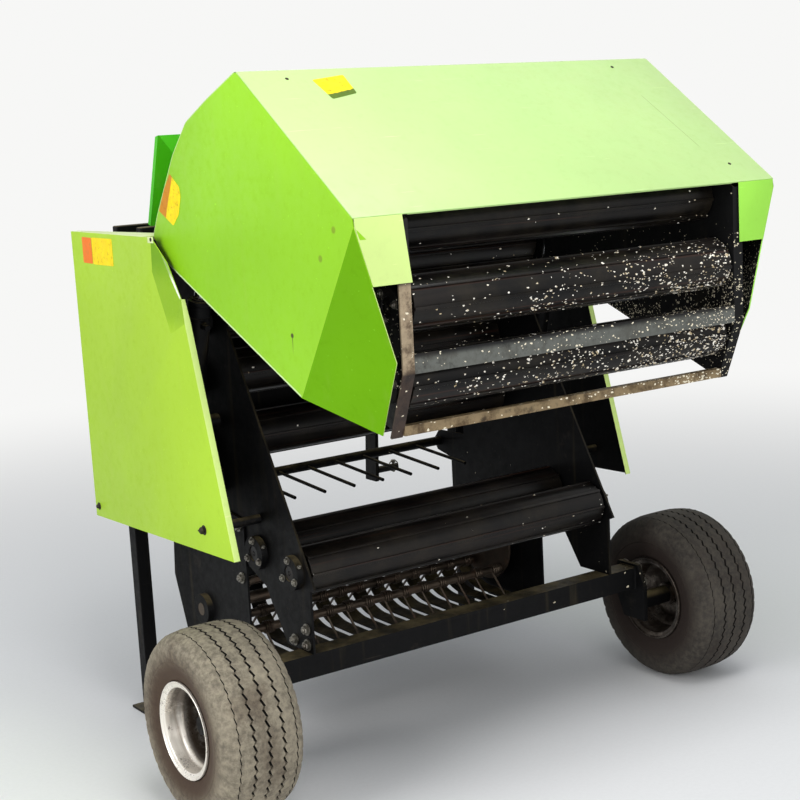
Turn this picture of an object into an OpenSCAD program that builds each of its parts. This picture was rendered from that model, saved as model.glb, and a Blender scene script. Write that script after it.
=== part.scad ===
// Round baler, three-point mounted, with a fixed roller chamber and its tailgate raised.
// Millimetres. X is to the right, Y is forward and Z is up.
// The tailgate is drawn closed and then turned about its hinge, and its pieces share that frame.

/* [Wheels] */
// Outer radius of a tyre
tyre_r = 235; // [215:1:255]
// Width of a tyre
tyre_w = 215; // [190:1:225]
// Distance from the middle of the machine to the middle of a tyre
track_half = 752; // [745:1:800]
// Radius of a rim's flange
rim_r = 119; // [110:1:130]
// Depth of a rim's flange over its bead seat
flange_h = 15; // [10:1:20]
// Width of a rim over its flanges
rim_w = 208; // [190:1:208]
// Wall thickness of a rim
rim_t = 5; // [4:0.5:8]
// Radius of a wheel spindle
spindle_r = 15; // [12:0.5:20]
// Wall thickness of a wheel hub round its spindle
hub_t = 17; // [12:1:25]
// Length of a wheel hub
hub_len = 90; // [70:1:110]

/* [Bale chamber] */
// Distance of the chamber's middle in front of the wheel spindles
chamber_y = 100; // [90:1:110]
// Height of the chamber's middle
chamber_z = 930; // [925:1:940]
// Radius of the circle that the rollers stand on
ring_r = 395; // [390:1:400]
// Radius of a roller's drum
roller_r = 60; // [55:1:62]
// Height of a roller's ribs
rib_h = 4; // [3:0.5:5]
// Thickness of a roller's ribs
rib_t = 8; // [6:0.5:12]
// Radius of a roller's shaft
shaft_r = 20; // [15:0.5:24]
// Angle from one roller to the next
roller_pitch = 25.5; // [25:0.1:26]
// Inner width of the chamber, between its side plates
chamber_w = 972; // [940:1:980]
// Thickness of a side plate
plate_t = 6; // [4:0.5:8]
// Gap between a roller's drum and a side plate
roller_gap = 8; // [6:0.5:12]
// Wall of a bearing housing round its shaft
bearing_wall = 24; // [16:1:25]
// Length of a bearing housing
bearing_len = 18; // [12:1:19]

/* [Tailgate] */
// Hinge axis, distance in front of the wheel spindles
hinge_y = 400; // [395:1:405]
// Hinge axis, height
hinge_z = 1280; // [1275:1:1285]
// Angle that the tailgate is raised by
gate_open = 38.5; // [36:0.5:40]
// Angle of the line where the tailgate parts from the front, from the hinge
split_deg = 240.3; // [240:0.1:241]
// Gap along that line
split_gap = 8; // [6:0.5:12]
// Radius round the hinge that the front's side plates fill
split_r = 180; // [178:1:184]
// Room for the drive between a side plate and the hood's outer face
drive_room = 133.5; // [130:0.5:136]
// Thickness of the sheet panels
sheet_t = 3; // [2:0.5:4]
// Half width of the rear cut-out in the hood
cutout_half = 502; // [490:1:510]
// Half width of the cut-out at its lower end on the left, where its edge leans in
cutout_low = 484; // [480:1:502]
// Slope of the chamfered lower sides, sideways per height
chamfer_slope = 0.56; // [0.5:0.01:0.57]
// Width of the folded rear flange of the tailgate's side plates
rear_flange_w = 31; // [28:1:31]
// Thickness of that flange
rear_flange_t = 5; // [4:0.5:6]
// Height of the flat rear bar
flat_bar_h = 43; // [35:1:50]
// Side of the square lower rear bar
low_bar = 22; // [20:1:30]
// Side of the tailgate's top cross tube
gate_tube = 40; // [30:1:44]
// Side of the struts that carry the hood's sides
strut = 30; // [24:1:36]
// Radius of a hinge pin
hinge_pin_r = 16; // [14:0.5:20]
// Thickness of a hinge arm
arm_t = 8; // [6:0.5:10]

/* [Tailgate cylinders] */
// Lower pin, distance in front of the wheel spindles
ram_y = 400; // [395:1:405]
// Lower pin, height
ram_z = 880; // [875:1:885]
// Distance of the upper pin from the tailgate's hinge
ram_arm = 180; // [178:1:182]
// Angle of the upper pin from the hinge, with the tailgate shut
ram_deg = 183; // [182:0.5:184]
// Radius of the pins
ram_pin_r = 12; // [10:0.5:13]
// Radius of the barrel
barrel_r = 30; // [24:0.5:32]
// Length of the barrel from the lower pin
barrel_len = 345; // [330:1:350]
// Radius of the piston rod
rod_r = 15; // [12:0.5:16]
// Outer radius of the eyes
eye_r = 26; // [24:0.5:28]
// Width of the eyes
eye_w = 36; // [34:1:38]
// Play of the rod's eye round its pin
rod_eye_play = 6; // [5:0.5:8]
// Distance from a cylinder's middle to the hood's outer face
ram_inset = 57.5; // [55:0.5:60]

/* [Side covers] */
// Distance from the hood's outer face to a cover's outer face
cover_out = 24.5; // [24:0.5:30]
// Depth of the folded rear lip
lip_w = 17; // [14:1:18]
// Depth of the top flange at its rear end
top_flange_w = 100; // [80:1:110]
// Depth of the top flange at its front end
top_flange_end = 22; // [16:1:30]

/* [Frame] */
// Side of the frame's long tubes
tube = 50; // [45:1:50]
// Height of the lower long tubes' top
rail_top_z = 750; // [748:1:752]
// Distance of the front cross tube's front face in front of the wheel spindles
nose_y = 920; // [915:1:925]
// Side of the front cross tube
nose_tube = 60; // [55:1:60]
// Side of the axle tube
axle_tube = 60; // [50:1:64]
// Height of the axle tube's top
axle_top_z = 340; // [335:1:345]
// Thickness of the wheel bracket plates
bracket_t = 12; // [10:1:16]
// Distance from the middle of the machine to a wheel bracket's inner face
bracket_x = 585; // [580:1:590]

/* [Hitch] */
// Height of the lower hitch pins
lower_pin_z = 520; // [510:1:530]
// Half of the span between the lower hitch pins' shoulders
lower_span_half = 341; // [338:1:345]
// Radius of a lower hitch pin
lower_pin_r = 11; // [10.5:0.1:11.2]
// Length of a lower hitch pin
lower_pin_len = 90; // [80:1:100]
// Height from the lower pins to the top link's hole
mast_h = 480; // [460:1:500]
// Radius of the top link's hole
top_hole_r = 9.8; // [9.5:0.1:10.2]
// Gap between the top link's ears
top_gap = 52; // [48:1:56]
// Thickness of the hitch plates
hitch_t = 12; // [10:1:14]
// Height of the drive shaft
pto_z = 830; // [825:1:835]
// Radius of the drive shaft
pto_r = 17.4; // [17:0.1:17.6]
// Length of the drive shaft's free end
pto_stub = 75; // [70:1:80]
// Radius of the drive shaft's journal in the gearbox
journal_r = 20; // [19:0.5:24]
// Distance of the drive shaft's tip in front of the wheel spindles
pto_tip_y = 1000; // [995:1:1010]
// Radius of the drive shaft's bell guard
bell_r = 60; // [55:1:62]

/* [Twine box] */
// Half width of the box
box_half = 270; // [250:1:300]
// Half width of the box's rear wall, which shields the front
shield_half = 500; // [480:1:510]
// Depth of the shield's folded ends
shield_fold = 15; // [10:1:20]
// Height of the box's floor
box_floor_z = 1380; // [1378:1:1382]
// Height of the box's rear edge
box_top_z = 1621; // [1600:1:1630]
// Height of the box's front edge
box_front_z = 1560; // [1540:1:1580]
// Front of the box
box_front_y = 930; // [900:1:940]
// Overhang of the lid
lid_rim = 12; // [8:1:16]
// Radius of the lid's hinge pin
lid_pin_r = 5; // [4:0.5:6]
// Width of a knuckle on that pin
knuckle_w = 50; // [30:1:60]

/* [Pickup] */
// Reel axis, distance in front of the wheel spindles
reel_y = 530; // [525:1:535]
// Reel axis, height
reel_z = 340; // [335:1:345]
// Radius of the reel over its tines
tine_r = 205; // [195:1:205]
// Radius of the ring of tine bars
bar_ring_r = 100; // [90:1:105]
// Radius of a tine bar
tine_bar_r = 12; // [10:0.5:14]
// Radius of a tine's wire
wire_r = 3.5; // [3:0.25:4]
// Radius of the reel's shaft
reel_shaft_r = 17; // [14:0.5:20]
// Outer radius of the stripper bands
band_r = 150; // [145:1:155]
// Thickness of a stripper band
band_t = 4; // [3:0.5:5]
// Width of a stripper band
band_w = 48; // [44:1:48]
// Distance from one stripper band to the next
band_pitch = 66; // [66:1:68]
// Radius of the crop guard's bar
guard_bar_r = 14; // [12:0.5:16]
// Radius of the crop guard's rods
guard_rod_r = 5; // [4:0.5:6]
// Length of the crop guard's rods
guard_len = 265; // [240:1:270]

/* [Parking legs] */
// Distance of a leg in front of the wheel spindles
leg_y = 780; // [740:1:782]
// Side of a leg
leg_w = 40; // [34:1:42]
// Wall of a leg's socket
socket_t = 6; // [5:0.5:8]
// Clearance between a leg and its socket
leg_gap = 0.5; // [0.4:0.1:0.8]
// Length of a leg
leg_len = 780; // [760:1:820]
// Side of a leg's foot
foot_w = 88; // [80:1:90]
// Height of a leg's socket
socket_h = 130; // [100:1:140]

/* [Hidden] */
$fn = 96;
// Radial clearance of every shaft and pin that turns in its hole
running = 0.05;
// Gap between pieces that are seated on each other but turn or slide
seat = 0.3;
plate_x = chamber_w / 2;
plate_out = plate_x + plate_t;
hood_half = plate_out + drive_room;
ram_x = hood_half - ram_inset;
cover_x = hood_half + cover_out;
leg_x = plate_out + tube + socket_t + leg_gap + leg_w / 2;
H = [hinge_y, hinge_z];
C = [chamber_y, chamber_z];
front_angles = [for (k = [0:3]) split_deg - 360 + 178.7 - k * roller_pitch];
bottom_angles = [for (k = [0:1]) 263 + k * roller_pitch];
gate_angles = [for (k = [0:6]) 237.5 - k * roller_pitch];
FRONT_ROLLERS = [for (a = concat(front_angles, bottom_angles)) C + ring_r * [cos(a), sin(a)]];
GATE_ROLLERS = [for (a = gate_angles) C + ring_r * [cos(a), sin(a)]];

// A point of the shut tailgate where it lies with the tailgate raised
function raised(p) = H + [[cos(gate_open), sin(gate_open)], [-sin(gate_open), cos(gate_open)]] * (p - H);
// Miter offset of a closed outline towards its left side, by t
function unit(v) = v / norm(v);
function left(v) = [-v[1], v[0]];
function inset(p, t) = let (n = len(p)) [for (i = [0:n - 1])
    let (a = unit(p[i] - p[(i + n - 1) % n]), b = unit(p[(i + 1) % n] - p[i]), m = left(a) + left(b))
    p[i] + m * (2 * t / (m * m))];

// Hood outline, tailgate shut, from its lower front corner over the top to its rear edge
HOOD_F = [351, 1276];
HOOD_E = [361, 1364];
HOOD_E2 = [301, 1388];
HOOD_E1 = [125, 1436];
HOOD_A3 = [13, 1446];
HOOD_A2 = [-102, 1416];
HOOD_A = [-258, 1368];
HOOD_B = [-410, 836];
HOOD_FOLD = [-398, 821];
HOOD_G = [37, 674];
hood_outline = [HOOD_F, HOOD_E, HOOD_E2, HOOD_E1, HOOD_A3, HOOD_A2, HOOD_A, HOOD_B, HOOD_FOLD, HOOD_G];
// Free edge of the chamfered lower side, tailgate shut
CHAMFER_C = [-318, 721];
CHAMFER_H = [-213, 589];
CHAMFER_I = [-41, 509];
// Rear edge of the tailgate's side plates, tailgate shut, seated on the strip beside the cut-out
rear_dir = unit(CHAMFER_C - HOOD_B);
GATE_HEEL = HOOD_B + 12 * rear_dir + (sheet_t + seat) * left(rear_dir);
GATE_KNEE = GATE_HEEL + 333 * rear_dir;
GATE_TIP = [-50, 489];
ram_top = H + ram_arm * [cos(ram_deg), sin(ram_deg)];
// Open bay in front of the chamber: its rear sheet and its top
bay_y = 600;
bay_z = 850;
bay_top_z = 1342;
// Height of the upper rails' top
upper_z = 1350;
// Rear ends of the stripper bands, and the crop guard's bar
band_end_y = 320;
band_top_z = 500;
guard_bar = [790, 615];
tail_y = raised(HOOD_B)[0];
mid_y = (pto_tip_y + tail_y) / 2;

black = [0.09, 0.09, 0.1];
green = [0.5, 0.8, 0.2];

// Everything is drawn from the wheel spindles, and then centred along Y
module placed() translate([0, -mid_y, 0]) children();
// The raised tailgate
module gate() placed() translate([0, hinge_y, hinge_z]) rotate([-gate_open, 0, 0])
    translate([0, -hinge_y, -hinge_z]) children();
// One side of the machine: s is 1 on the right and -1 on the left
module on_side(s) mirror([s < 0 ? 1 : 0, 0, 0]) children();
module both_sides() for (s = [-1, 1]) on_side(s) children();
// An outline in Y and Z, extruded along X from x0 to x1
module slab(x0, x1) translate([x0, 0, 0]) rotate([90, 0, 90]) linear_extrude(x1 - x0) children();
// A bar along X at p = [y, z]
module bar(x0, x1, r, p) slab(x0, x1) translate(p) circle(r);
// A box between two corners
module block(a, b) translate(a) cube(b - a);

// The front's side of the line where the tailgate parts from it, g off that line
module front_region(g) {
    d = [cos(split_deg), sin(split_deg)];
    n = [-d[1], d[0]];
    o = H + g * n;
    polygon([o - 200 * d, o + 1400 * d, o + 1400 * d + 1600 * n, o - 200 * d + 1600 * n]);
    translate(H) circle(split_r - g);
}

module side_plate(s) color(black) placed() on_side(s) {
    slab(plate_x, plate_out) difference() {
        intersection() {
            polygon([[-15, axle_top_z], [-15, 500], [-60, 520], [180, 1345], [643, 1345],
                [643, 600], [600, band_top_z + 5], [280, band_top_z + 5], [200, 470],
                [110, axle_top_z]]);
            front_region(split_gap / 2);
        }
        for (p = FRONT_ROLLERS) translate(p) circle(shaft_r + running);
        translate(H) circle(hinge_pin_r + running);
    }
    slab(plate_out, plate_out + bearing_len) {
        for (p = FRONT_ROLLERS) translate(p) difference() {
            circle(shaft_r + bearing_wall);
            circle(shaft_r + running);
        }
        translate(H) difference() {
            circle(hinge_pin_r + bearing_wall - 4);
            circle(hinge_pin_r + running);
        }
    }
    bar(plate_out, ram_x + eye_w / 2 + 6, ram_pin_r, [ram_y, ram_z]);
    bar(plate_out, ram_x - eye_w / 2 - seat, ram_pin_r + 6, [ram_y, ram_z]);
    bar(plate_out, cover_x - sheet_t, 12, [215, 646]);
}

// One side of the frame: lower rail, post, upper rail, cover struts and the parking leg's socket
module frame_side(s) color(black) placed() on_side(s) {
    rail_out = plate_out + tube;
    block([plate_out, 380, rail_top_z - 60], [rail_out, nose_y - nose_tube, rail_top_z]);
    block([plate_out, 800, rail_top_z], [rail_out, 850, upper_z]);
    block([plate_out, 560, upper_z - tube], [rail_out, 800, upper_z]);
    for (z = [790, 1240]) block([rail_out, 812, z], [cover_x - sheet_t, 838, z + 26]);
    difference() {
        w = leg_w / 2 + leg_gap;
        block([rail_out, leg_y - w - socket_t, rail_top_z - socket_h],
            [leg_x + w + socket_t, leg_y + w + socket_t, rail_top_z]);
        block([leg_x - w, leg_y - w, rail_top_z - socket_h - 1], [leg_x + w, leg_y + w, rail_top_z + 1]);
    }
}

// Cross tubes between the frame's sides
module main_frame() color(black) placed() {
    rail_out = plate_out + tube;
    block([-rail_out, nose_y - nose_tube, rail_top_z - 60], [rail_out, nose_y, rail_top_z]);
    block([-plate_x, bay_y + sheet_t, 1290], [plate_x, bay_y + sheet_t + 40, 1340]);
    for (y = [665, 815]) block([-rail_out, y, upper_z], [rail_out, y + 30, box_floor_z]);
}

module headstock() color(black) placed() {
    top_z = lower_pin_z + mast_h;
    both_sides() {
        // Lower hitch plate with its pin
        slab(lower_span_half - hitch_t, lower_span_half)
            polygon([[nose_y, rail_top_z], [nose_y + 30, rail_top_z], [nose_y + 52, lower_pin_z - 30],
                [nose_y - 8, lower_pin_z - 30], [nose_y - 20, 689.9], [nose_y, 689.9]]);
        bar(lower_span_half, lower_span_half + lower_pin_len, lower_pin_r, [nose_y + 20, lower_pin_z]);
        // Mast leg and the top link's ear
        translate([0, nose_y + 45, 0]) rotate([90, 0, 0]) linear_extrude(45)
            polygon([[150, rail_top_z - 60], [190, rail_top_z - 60], [top_gap / 2 + hitch_t, top_z - 60],
                [top_gap / 2, top_z - 60]]);
        slab(top_gap / 2, top_gap / 2 + hitch_t) difference() {
            polygon([[nose_y, top_z - 62], [nose_y, top_z + 10], [nose_y + 10, top_z + 28],
                [nose_y + 45, top_z + 28], [nose_y + 58, top_z + 10], [nose_y + 58, top_z - 20],
                [nose_y + 45, top_z - 62]]);
            translate([nose_y + 28, top_z]) circle(top_hole_r);
        }
    }
    // Tie between the ears
    block([-top_gap / 2 + seat, nose_y, top_z - 60], [top_gap / 2 - seat, nose_y + 8, top_z - 30]);
}

module axle_beam() color(black) placed() {
    block([-bracket_x, -10, axle_top_z - axle_tube], [bracket_x, axle_tube - 10, axle_top_z]);
    hub_x = track_half - hub_len / 2;
    both_sides() {
        slab(bracket_x, bracket_x + bracket_t)
            polygon([[-45, 190], [-45, 290], [-20, axle_top_z + 10], [60, axle_top_z + 10], [85, 290],
                [40, 190]]);
        bar(bracket_x + bracket_t, hub_x - seat, spindle_r + 10, [0, tyre_r]);
        bar(bracket_x + bracket_t, hub_x + hub_len + seat + 10, spindle_r, [0, tyre_r]);
        bar(hub_x + hub_len + seat, hub_x + hub_len + seat + 10, spindle_r + 8, [0, tyre_r]);
    }
}

module gearbox() color([0.25, 0.26, 0.28]) placed() {
    difference() {
        union() {
            block([-75, 760, rail_top_z], [75, nose_y - 15, pto_z + 75]);
            translate([0, nose_y + 5, pto_z]) rotate([90, 0, 0]) cylinder(r = 48, h = 20);
            // Bell guard round the drive shaft
            translate([0, nose_y + 60, pto_z]) rotate([90, 0, 0]) difference() {
                cylinder(r = bell_r, h = 60);
                translate([0, 0, -1]) cylinder(r = bell_r - 5, h = 56);
            }
        }
        translate([0, nose_y + 70, pto_z]) rotate([90, 0, 0]) cylinder(r = journal_r + running, h = 150);
    }
    // Cross shaft tube to the left side's drive
    bar(-plate_out, -75, 26, [810, pto_z]);
}

module pto_shaft() color("silver") placed() translate([0, pto_tip_y, pto_z]) rotate([90, 0, 0]) {
    cylinder(r = pto_r, h = pto_stub);
    translate([0, 0, pto_stub]) cylinder(r = journal_r, h = 65);
}

module side_cover(s) color(green) placed() on_side(s) {
    outline = [[62, 590], [870, 570], [880, 1373], [388, 1371], [323, 1310], [258, 1222]];
    slab(cover_x - sheet_t, cover_x) polygon(outline);
    // Folded rear lip
    edge = unit(outline[5] - outline[0]);
    slab(cover_x - lip_w, cover_x - sheet_t)
        polygon([outline[0], outline[0] - sheet_t * left(edge), outline[5] - sheet_t * left(edge),
            outline[5]]);
    translate([0, 0, 1371 - sheet_t]) linear_extrude(sheet_t)
        polygon([[cover_x - top_flange_w, 440], [cover_x - sheet_t, 440], [cover_x - sheet_t, 878],
            [cover_x - top_flange_end, 878]]);
}

box_outline = [[604, box_top_z], [690, box_floor_z], [box_front_y, box_floor_z],
    [box_front_y, box_front_z]];
wall_dir = unit(box_outline[1] - box_outline[0]);
lid_dir = unit([box_front_y - 604, box_front_z - box_top_z]);
// The rear wall's section with thickness t, cut off under the lid
function shield(t) = [box_outline[0], box_outline[1], box_outline[1] + t * left(wall_dir),
    box_outline[0] + t / (lid_dir * left(wall_dir)) * lid_dir];
lid_pin = [594, box_top_z - 3];
knuckle_r = lid_pin_r + 4;
module twine_box() color(green) placed() {
    difference() {
        slab(-box_half, box_half) polygon(box_outline);
        slab(-box_half + sheet_t, box_half - sheet_t) polygon(concat(
            [[600, box_top_z + 30]], [for (i = [1:2]) inset(box_outline, sheet_t)[i]],
            [[box_front_y - sheet_t, box_front_z + 30]]));
    }
    // Shield: the rear wall, drawn out to both sides, with its ends folded forward
    both_sides() {
        slab(box_half - sheet_t, shield_half) polygon(shield(sheet_t));
        slab(shield_half - sheet_t, shield_half) polygon(shield(shield_fold));
    }
    // Hinge pin with the knuckles that carry it
    bar(-box_half + 10, box_half - 10, lid_pin_r, lid_pin);
    for (x = [-220, 0, 220]) {
        bar(x - knuckle_w / 2, x + knuckle_w / 2, knuckle_r, lid_pin);
        slab(x - knuckle_w / 2, x + knuckle_w / 2) polygon([lid_pin - [0, knuckle_r - 0.1],
            box_outline[0] + 28 * wall_dir + [1, 0], box_outline[0] + 3 * wall_dir + [1, 0],
            lid_pin + [0, 3]]);
    }
}

module twine_box_lid() color(green) placed() {
    up = left(lid_dir);
    o = [604, box_top_z] + seat * up;
    e = [box_front_y, box_front_z] + seat * up + lid_rim * lid_dir;
    slab(-box_half - lid_rim, box_half + lid_rim)
        polygon([o, e, e - 20 * up, e - 20 * up + sheet_t * lid_dir, e + sheet_t * (up + lid_dir),
            o + sheet_t * up]);
    for (x = [-110, 110]) slab(x - knuckle_w / 2, x + knuckle_w / 2) difference() {
        union() {
            translate(lid_pin) circle(knuckle_r);
            polygon([o, o + sheet_t * up, lid_pin + [0, knuckle_r - 0.1], lid_pin + [0, knuckle_r - 3]]);
        }
        translate(lid_pin) circle(lid_pin_r + running);
    }
}

module front_sheet() color(black) placed() slab(-plate_x, plate_x) polygon([[405, bay_top_z],
    [bay_y, bay_top_z], [bay_y, bay_z], [bay_y + sheet_t, bay_z], [bay_y + sheet_t, bay_top_z + sheet_t],
    [405, bay_top_z + sheet_t]]);

bar_half = plate_x + plate_t;
module pickup_frame() color(black) placed() {
    both_sides() {
        slab(bar_half, bar_half + plate_t) difference() {
            polygon([[290, 190], [290, 630], [560, 660], [700, 560], [715, 400], [640, 200], [560, 160],
                [420, 160]]);
            translate([reel_y, reel_z]) circle(reel_shaft_r + running);
        }
        slab(bar_half + plate_t, bar_half + plate_t + bearing_len) translate([reel_y, reel_z])
            difference() {
                circle(reel_shaft_r + bearing_wall);
                circle(reel_shaft_r + running);
            }
        // Brackets that carry the crop guard's bar
        slab(bar_half + plate_t, bar_half + 2 * plate_t) difference() {
            polygon([[560, 600], [560, 655], guard_bar + [0, 35], guard_bar + [30, 0],
                guard_bar + [10, -30], guard_bar - [100, 55]]);
            translate(guard_bar) circle(guard_bar_r + running);
        }
    }
    block([-bar_half, band_end_y - 15, band_top_z - 22], [bar_half, band_end_y + 25, band_top_z]);
    block([-bar_half, band_end_y - 15, reel_z - band_r + band_t], [bar_half, band_end_y + 25,
        reel_z - band_r + band_t + 20]);
}

band_count = floor((chamber_w - band_w) / band_pitch / 2);
module stripper_bands() color(black) placed()
    for (i = [-band_count:band_count]) slab(i * band_pitch - band_w / 2, i * band_pitch + band_w / 2) {
        difference() {
            translate([reel_y, reel_z]) circle(band_r);
            translate([reel_y, reel_z]) circle(band_r - band_t);
            translate([reel_y - 2 * band_r, reel_z - 2 * band_r]) square([2 * band_r, 4 * band_r]);
        }
        polygon([[reel_y, reel_z + band_r], [reel_y, reel_z + band_r - band_t],
            [band_end_y + 25, band_top_z], [band_end_y - 15, band_top_z],
            [band_end_y - 15, band_top_z + band_t]]);
        polygon([[reel_y, reel_z - band_r], [reel_y, reel_z - band_r + band_t],
            [band_end_y - 15, reel_z - band_r + band_t], [band_end_y - 15, reel_z - band_r]]);
    }

module pickup_reel() color([0.3, 0.25, 0.22]) placed() {
    end = bar_half + plate_t + bearing_len;
    bar(-end, end, reel_shaft_r, [reel_y, reel_z]);
    for (s = [-1, 1]) on_side(s)
        bar(plate_x - 22, plate_x - 14, bar_ring_r + tine_bar_r + 4, [reel_y, reel_z]);
    for (a = [45:90:315]) {
        p = [reel_y, reel_z] + bar_ring_r * [cos(a), sin(a)];
        bar(-plate_x + 14, plate_x - 14, tine_bar_r, p);
        for (i = [-band_count:band_count - 1])
            translate([(i + 0.5) * band_pitch, reel_y, reel_z]) rotate([a - 90, 0, 0])
                translate([0, 0, bar_ring_r]) cylinder(r = wire_r, h = tine_r - bar_ring_r, $fn = 16);
    }
}

module crop_guard() color(black) placed() {
    end = bar_half + 2 * plate_t;
    bar(-end, end, guard_bar_r, guard_bar);
    for (i = [-4:4]) translate([i * 100, guard_bar[0], guard_bar[1]]) rotate([94, 0, 0])
        cylinder(r = guard_rod_r, h = guard_len, $fn = 24);
}

// A chamber roller: drum with ribs, and its shaft
module roller(p) {
    end = plate_out + bearing_len - 2;
    bar(-end, end, shaft_r, p);
    slab(-plate_x + roller_gap, plate_x - roller_gap) translate(p) {
        circle(roller_r);
        for (a = [0:45:315]) rotate(a)
            translate([roller_r - 2, -rib_t / 2]) square([rib_h + 2, rib_t]);
    }
}
module front_roller(i) color(black) placed() roller(FRONT_ROLLERS[i]);
module gate_roller(i) color(black) gate() roller(GATE_ROLLERS[i]);

module gate_plate(s) color(black) gate() on_side(s) {
    slab(plate_x, plate_out) difference() {
        polygon([GATE_TIP, H, [200, 1405], [13, 1430], [-100, 1396], [-246, 1351], GATE_HEEL,
            GATE_KNEE]);
        front_region(-split_gap / 2);
        for (p = GATE_ROLLERS) translate(p) circle(shaft_r + running);
    }
    slab(plate_out, plate_out + bearing_len) for (p = GATE_ROLLERS) translate(p) difference() {
        circle(shaft_r + bearing_wall);
        circle(shaft_r + running);
    }
    // Folded rear flange
    slab(plate_x, plate_x + rear_flange_w) difference() {
        polygon([GATE_TIP, GATE_KNEE, GATE_HEEL, GATE_HEEL + [rear_flange_t + 2, 0],
            GATE_KNEE + [rear_flange_t - 1, rear_flange_t - 1], GATE_TIP + [2, rear_flange_t]]);
        front_region(-split_gap / 2);
    }
}

module gate_frame() color(black) gate() {
    // Flat rear bar, square lower bar and top cross tube
    knee_dir = unit(GATE_HEEL - GATE_KNEE);
    slab(-plate_x, plate_x) {
        polygon([GATE_KNEE, GATE_KNEE + flat_bar_h * knee_dir,
            GATE_KNEE + flat_bar_h * knee_dir - 6 * left(knee_dir), GATE_KNEE - 6 * left(knee_dir)]);
        translate(GATE_TIP) rotate(gate_open) translate([-12, 8]) square(low_bar);
        translate([-180, 1325]) square(gate_tube);
    }
    both_sides() {
        for (p = [[-205, 1300], [-330, 960]])
            block([plate_out, p[0], p[1]], [hood_half - sheet_t, p[0] + strut, p[1] + strut]);
        // Hinge arm with the cylinder's pin, its spacer, and the hinge pin
        arm_x = plate_x + rear_flange_w;
        slab(arm_x, arm_x + arm_t) polygon([[445, 1265], [430, 1316], [190, 1394], [-95, 1383],
            [-95, 1352], [190, 1235], [400, 1235]]);
        slab(plate_out, arm_x - seat) polygon([[-95, 1354], [80, 1374], [80, 1394], [-95, 1383]]);
        bar(plate_x, arm_x - seat, hinge_pin_r, H);
        bar(arm_x, ram_x + eye_w / 2 + 6, ram_pin_r, ram_top);
    }
}

module hood() color(green) gate() {
    skin = inset(hood_outline, sheet_t);
    slab(-hood_half, hood_half) polygon(concat([for (i = [1:7]) hood_outline[i]],
        [for (i = [7:-1:1]) skin[i]]));
}

// The chamfered lower sides: along the fold, down from it, and inwards from the hood's side
fold_dir = unit(HOOD_G - HOOD_FOLD);
function along_fold(p) = (p - HOOD_FOLD) * fold_dir;
function below_fold(p) = -((p - HOOD_FOLD) * left(fold_dir));
function tuck(p) = chamfer_slope * below_fold(p);
module hood_side(s) color(green) gate() on_side(s) {
    inner = inset(hood_outline, sheet_t);
    overlap = 1;
    slab(hood_half - sheet_t, hood_half) polygon(concat([for (i = [1:7]) inner[i]],
        [HOOD_FOLD - overlap * left(fold_dir), HOOD_G - overlap * left(fold_dir), HOOD_F]));
    // Rear strip beside the cut-out
    run = norm(CHAMFER_C - HOOD_B);
    low_half = s < 0 ? cutout_low : cutout_half;
    translate([0, HOOD_B[0], HOOD_B[1]])
        rotate([atan2(CHAMFER_C[1] - HOOD_B[1], CHAMFER_C[0] - HOOD_B[0]), 0, 0])
            linear_extrude(sheet_t) polygon([[cutout_half, sheet_t + overlap],
                [hood_half - overlap, sheet_t + overlap], [hood_half - overlap, norm(HOOD_FOLD - HOOD_B)],
                [hood_half - tuck(CHAMFER_C) - overlap, run], [low_half, run]]);
    // Chamfered lower side
    translate([hood_half, HOOD_FOLD[0], HOOD_FOLD[1]]) rotate([atan2(fold_dir[1], fold_dir[0]), 0, 0])
        rotate([0, 90 + atan(chamfer_slope), 0]) translate([0, 0, -sheet_t]) linear_extrude(sheet_t)
            polygon([for (p = [HOOD_FOLD, CHAMFER_C, CHAMFER_H, CHAMFER_I, HOOD_G])
                [below_fold(p) * norm([1, chamfer_slope]), along_fold(p)]]);
}

ram_foot = [ram_y, ram_z];
ram_now = raised(ram_top);
ram_dir = unit(ram_now - ram_foot);
module along_ram() placed() translate([ram_x, ram_y, ram_z])
    rotate([atan2(ram_dir[1], ram_dir[0]) - 90, 0, 0]) children();
module eye(r) rotate([0, 90, 0]) translate([0, 0, -eye_w / 2]) cylinder(r = r, h = eye_w);
module cylinder_barrel(s) color(black) on_side(s) along_ram() difference() {
    union() {
        eye(eye_r);
        translate([0, 0, 20]) cylinder(r = barrel_r, h = barrel_len - 20);
    }
    translate([-eye_w, 0, 0]) rotate([0, 90, 0]) cylinder(r = ram_pin_r + running, h = 2 * eye_w);
    translate([0, 0, 45]) cylinder(r = rod_r + running, h = barrel_len);
}
module cylinder_rod(s) color("silver") on_side(s) along_ram() {
    reach = norm(ram_now - ram_foot);
    difference() {
        union() {
            translate([0, 0, reach]) eye(eye_r);
            translate([0, 0, 160]) cylinder(r = rod_r, h = reach - 160 - 21);
        }
        translate([-eye_w, 0, reach]) rotate([0, 90, 0])
            cylinder(r = ram_pin_r + rod_eye_play, h = 2 * eye_w);
    }
}

bead_r = rim_r - flange_h;
module wheel_place(s) placed() on_side(s) translate([track_half, 0, tyre_r]) rotate([0, 90, 0]) children();
module tyre(s) color([0.16, 0.15, 0.14]) wheel_place(s) rotate_extrude() {
    mid = 172;
    seat_w = rim_w / 2 - 6.2;
    side = [[bead_r + 0.2, seat_w], [rim_r + 2, seat_w], [150, tyre_w / 2 - 3]];
    crown = [for (a = [0:10:90]) [mid + (tyre_r - mid) * pow(sin(a), 0.6), tyre_w / 2 * pow(cos(a), 0.55)]];
    half = concat(side, crown);
    polygon(concat(half, [for (i = [len(half) - 2:-1:0]) [half[i][0], -half[i][1]]]));
}
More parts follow.
